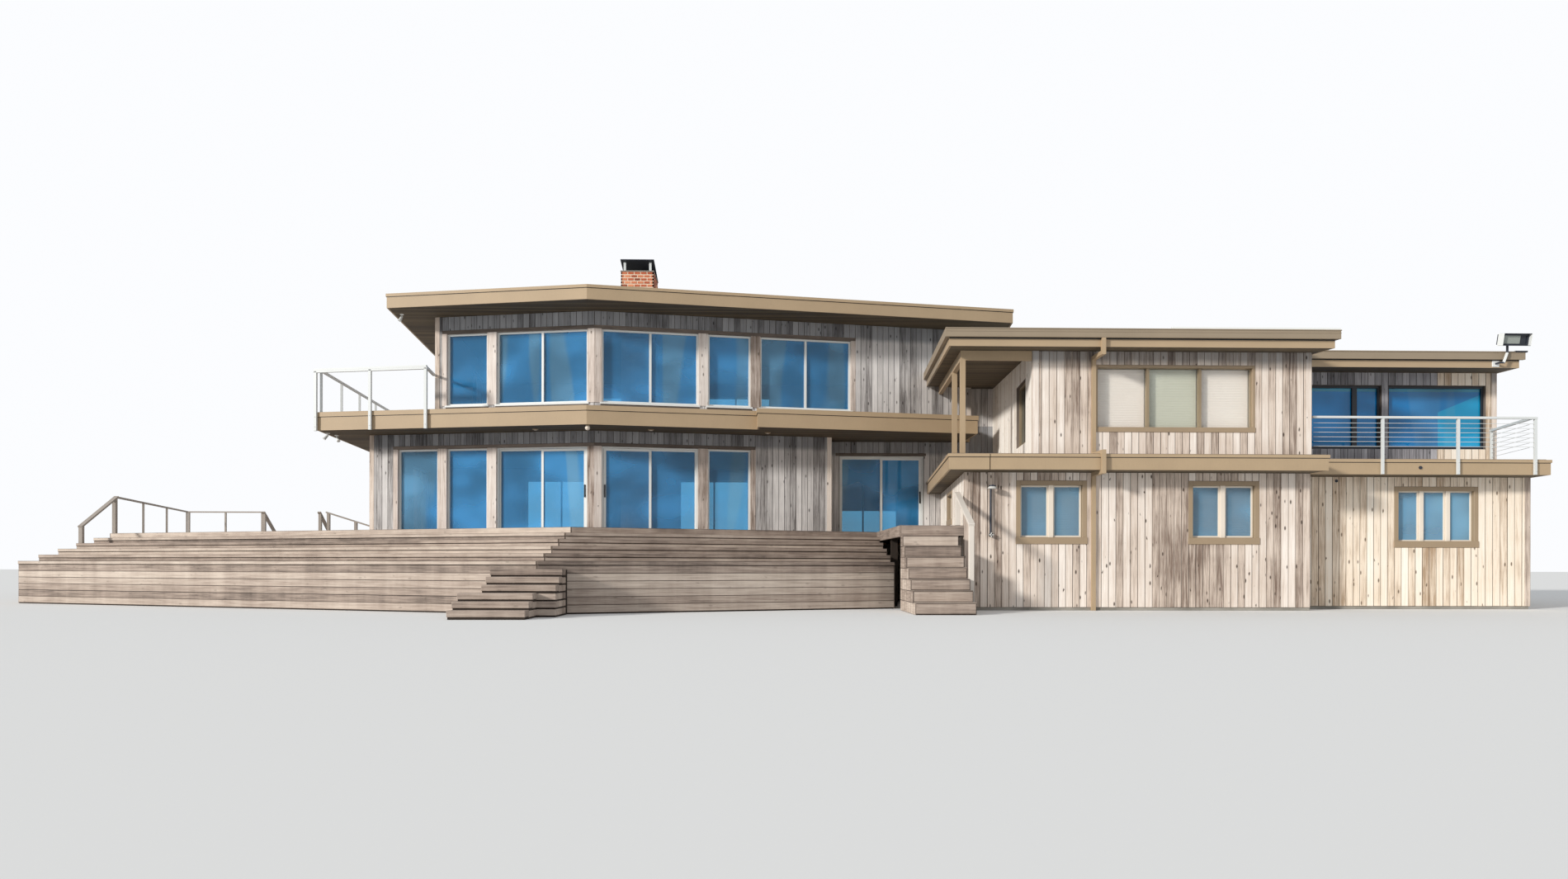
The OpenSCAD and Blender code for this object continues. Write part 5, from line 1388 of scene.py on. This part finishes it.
def soffit_lamps():
    """A ball lamp under the balcony's corner, and flat round lamps beside it."""
    rims = Piece("soffit_lamp_rims", taupe, "tan_trim")
    lenses = Piece("soffit_lamp_lenses", cream, "white_frame")
    z, ball_y = BALCONY_Z, -0.98
    ball = new_part()
    bmesh.ops.create_uvsphere(ball, u_segments=20, v_segments=12, radius=0.06)
    bmesh.ops.translate(ball, verts=ball.verts, vec=(0, ball_y, z - 0.065))
    lenses.take(ball)
    rod(rims, at_point(0, ball_y, z + 0.001, DOWN), 0.05, 0.03, 0.04, 20)
    for x, y in ((-1.38, -0.2), (1.39, -0.2), (4.2, 0.25)):
        rod(rims, at_point(x, y, z + 0.001, DOWN), 0.075, 0.02, 0.065, 24)
        rod(lenses, at_point(x, y, z - 0.012, DOWN), 0.045, 0.015, 0.03, 24)
    rims.done()
    lenses.done()


def door_pulls():
    """Black pulls over the sliding panels' own, riding with their doors."""
    inset, width = 0.077, 0.03
    for name, start, end, x in (
        ("door_1", facet_point(-1, 1), front, 1 - FIRST - inset - width),
        ("door_2", front, facet_point(1, 1), FIRST + inset),
        ("door_3", recess_left, recess_right, RECESS_DOOR[1] - inset - width),
    ):
        place, _ = wall_frame(start, end)
        piece = Piece(f"{name}_pull", black, "dark_metal", name)
        low, high = DECK_Z + 0.845, DECK_Z + 1.155
        bar(piece, place, x - 0.002, x + width + 0.002, 0.008, 0.024, low, high, 0.004)
        for z in (low + 0.023, high - 0.047):
            bar(piece, place, x - 0.0015, x + width + 0.0015, 0.02, 0.041, z, z + 0.034, 0.002)
        piece.done()


def side_handrail():
    """Pale paint over the side steps' handrail and its posts."""
    piece = Piece("side_handrail_paint", pale_wood_paint, "deck_boards")
    x, wide, skin = walk_left + SIDE_STEP_WIDTH + 0.014, 0.09, 0.003
    upper, lower = (WING_FRONT + 0.13, 2.40), (WING_FRONT - 1.36, 1.69)
    slope = Vector((0, lower[0] - upper[0], lower[1] - upper[1]))
    place = frame_at((x, *upper), slope)
    side, run = 0.01 + skin, slope.length
    bar(piece, place, -skin, run + skin, -side, wide + side, -0.045 - skin, skin, 0.005)
    for y, foot, head in ((upper[0] - 0.01, DECK_Z + 0.014, 2.34), (lower[0] + 0.11, 0.0, 1.70)):
        bar(piece, HOUSE, x - skin, x + wide + skin, y - wide - skin, y + skin, foot, head, 0.005)
    piece.done()


def floodlight_parts():
    """The floodlight's hood, rims, lens and cooling fins, and the cover on its bracket."""
    rim = Piece("floodlight_rim", white_frame, "pale_metal")
    lens = Piece("floodlight_lens", lamp_glass, "blue_glass")
    hood = Piece("floodlight_hood", dark_sheet, "dark_metal")
    plate_x, plate_z, arm_y = 19.88, WING_ROOF + 0.02, END_EAVES - GUTTER_OUT - 0.068
    middle = Vector((plate_x + 0.345, arm_y, plate_z + 0.56))
    place = Matrix.Translation(middle) @ Matrix.Rotation(math.radians(12), 4, "X")
    half_w, half_d, half_h, edge, fins = 0.29, 0.075, 0.11, 0.024, 9
    glass_h, side_h = half_h - edge, half_h + 0.018
    for x0, x1 in ((-half_w - 0.021, -half_w - 0.013), (half_w + 0.013, half_w + 0.021)):
        bar(rim, place, x0, x1, -half_d - 0.085, 0.02, -side_h, side_h, 0.003)
    for z0, z1 in ((-half_h - 0.02, -half_h - 0.012), (half_h + 0.012, half_h + 0.02)):
        bar(hood, place, -half_w - 0.013, half_w + 0.013, -half_d - 0.08, 0.0, z0, z1, 0.003)
    x0, x1, y = -half_w + edge, half_w - edge, -half_d
    bar(hood, place, x0, x1, y + 0.026, y + 0.032, -glass_h, glass_h, 0.001)
    bar(lens, place, x0, 0.4 * half_w, y + 0.006, y + 0.014, -glass_h, glass_h, 0.001)
    hood.done()
    x0, x1 = plate_x - 0.003, plate_x + 0.153
    bar(rim, HOUSE, x0, x1, END_EAVES - 0.018, END_EAVES, plate_z - 0.003, plate_z + 0.133, 0.003)
    foot = Vector((plate_x + 0.15, arm_y, plate_z + 0.065))
    arm = Vector((plate_x + 0.23, arm_y, plate_z + 0.28)) - foot
    bar(rim, frame_at(foot, arm, OUTWARD), 0.0, arm.length, -0.022, 0.022, -0.022, 0.022, 0.006)
    first, fin_h = -half_w + 0.04, half_h - 0.02
    for k in range(fins):
        x = first - 2 * k * first / (fins - 1)
        bar(rim, place, x - 0.004, x + 0.004, half_d - 0.002, half_d + 0.022, -fin_h, fin_h, 0.001)
    rim.done()
    lens.done()


def shower_parts():
    """The shower's head, pipe sleeve, wall plates and cross-shaped handle."""
    piece = Piece("shower_fittings", chrome, "pale_metal")
    x, y, handle_z = WING_LEFT + 0.5, WING_FRONT - 0.06, 1.52
    rod(piece, at_point(x, y - 0.15, 2.512, DOWN), 0.05, 0.07, 0.10, 24)
    sleeve = Piece("shower_pipe", dark_sheet, "dark_metal")
    rod(sleeve, at_point(x, y, 1.525), 0.021, 0.92)
    sleeve.done()
    for z, radius in ((2.48, 0.045), (1.548, 0.055)):
        rod(piece, at_point(x, WING_FRONT - 0.001, z, OUTWARD), radius, 0.014, radius - 0.01, 20)
    rod(piece, at_point(x, y - 0.056, handle_z, OUTWARD), 0.03, 0.03, 0.02, 16)
    for turn in (0, 1):
        place = at_point(x, y - 0.078, handle_z, OUTWARD) @ Matrix.Rotation(turn * math.pi / 2, 4, "Z")
        bar(piece, place, -0.05, 0.05, -0.008, 0.008, -0.008, 0.008, 0.003)
    piece.done()


def rail_fittings():
    """Sleeves, bolts and wire ends on the two metal railings."""
    piece = Piece("rail_fittings", chrome, "pale_metal")

    def bolt(place, x, y, z):
        rod(piece, place @ at_point(x + 0.025, y, z, OUTWARD), 0.011, 0.012, 0.008, 8)

    sleeves = Piece("balcony_rail_sleeves", rail_grey, "pale_metal")
    out, foot, top, count = OVERHANG + 0.07, BALCONY_Z, BALCONY_TOP + 1.0, 3
    start = facet_point(-1, LOWER_REACH + BALCONY_END + 0.03, out)
    place, run = wall_frame(start, facet_point(-1, UPPER_LEFT - 0.38, out))
    bar(sleeves, place, -0.02, run + 0.02, -0.008, 0.058, top - 0.05, top + 0.008)
    for k in range(count):
        x = k * (run - 0.05) / (count - 1)
        bar(sleeves, place, x - 0.012, x + 0.062, -0.008, 0.046, foot - 0.02, top - 0.01)
        for z in (foot + 0.08, foot + 0.32):
            bolt(place, x, -0.007, z)
    sleeves.done()
    y = END_BAND - 0.07
    place, _ = wall_frame((0, y), (20, y))
    for x in END_RAIL_POSTS:
        for z in (WING_BAND + 0.07, WING_BAND + 0.25):
            bolt(place, x, 0.001, z)
        for wire in range(1, 7):
            wire_end = at_point(x - 0.012, 0.025, WING_UPPER + 0.83 - wire * 0.095, (1, 0, 0))
            rod(piece, place @ wire_end, 0.009, 0.074, 0.009, 8)
    piece.done()


# The order matters, as each piece draws its boards' numbers from the one seed
pavilion_lower_boards()
pavilion_upper_boards()
wing_lower_boards()
wing_upper_boards()
deck_boards()
tier_boards()
stair_boards()
sand_timbers()
chimney_bricks()
roofing_sheets()
balcony_boards()
fascia_shadow_lines()
gutters()
wall_vents()
spotlights()
soffit_lamps()
door_pulls()
side_handrail()
floodlight_parts()
shower_parts()
rail_fittings()
for piece in (posts, trims, reveals, sills, corners, sashes, blinds, green_blind, casings):
    piece.done()


def camera():
    """At the photograph's place: level, turned a little to the right, with the frame shifted up."""
    picture_width, focal, middle, horizon = 1900, 1250, 532.5, 685
    data = bpy.data.cameras.new("beach_view")
    data.sensor_width = 36
    data.lens = focal / picture_width * 36
    data.shift_y = (horizon - middle) / picture_width
    data.clip_end = 400
    view = bpy.data.objects.new("beach_view", data)
    view.location = CORNER + Vector((4.075, -25.09, 0.90))
    view.rotation_euler = Euler((math.radians(90), math.radians(-0.1), math.radians(-1.2)))
    bpy.context.scene.collection.objects.link(view)
    bpy.context.scene.camera = view


def studio_floor():
    floor = bmesh.new()
    bmesh.ops.create_grid(floor, x_segments=1, y_segments=1, size=150)
    mesh = bpy.data.meshes.new("studio_floor")
    floor.to_mesh(mesh)
    floor.free()
    material = bpy.data.materials.new("studio_floor")
    shading = Shading(material)
    pale = shading.add("ShaderNodeBsdfDiffuse", None, {"Color": (0.80, 0.80, 0.79, 1)})
    shading.ends_in("ShaderNodeOutputMaterial", pale)
    mesh.materials.append(material)
    piece = bpy.data.objects.new("studio_floor", mesh)
    piece.location.z = -0.002
    bpy.context.scene.collection.objects.link(piece)


def studio_sky():
    """A soft dome of light, which the camera, mirrors and glass see as one pale even colour."""
    world = bpy.data.worlds.new("studio_sky")
    sky = Shading(world)
    light = sky.add("ShaderNodeBackground", None, {"Color": (0.93, 0.96, 1.0, 1), "Strength": 0.62})
    seen = sky.add("ShaderNodeBackground", None, {"Color": (0.97, 0.98, 1.0, 1), "Strength": 1.0})
    direct, mirrored_ray, clear = (
        sky.add("ShaderNodeLightPath", None, None, f"Is {kind} Ray")
        for kind in ("Camera", "Glossy", "Transmission")
    )
    either = direct.maths("MAXIMUM", direct, mirrored_ray)
    either = direct.maths("MAXIMUM", either, clear)
    sky.ends_in("ShaderNodeOutputWorld", sky.add("ShaderNodeMixShader", None, {0: either, 1: light, 2: seen}))
    bpy.context.scene.world = world


def sun():
    data = bpy.data.lights.new("key", "SUN")
    data.energy = 3.2
    data.angle = math.radians(6)
    data.color = (1.0, 0.97, 0.92)
    key = bpy.data.objects.new("key", data)
    key.rotation_euler = Vector((0.78, 0.545, -0.31)).to_track_quat("-Z", "Y").to_euler()
    bpy.context.scene.collection.objects.link(key)


bpy.context.scene.view_settings.view_transform = "Standard"
camera()
studio_floor()
studio_sky()
sun()
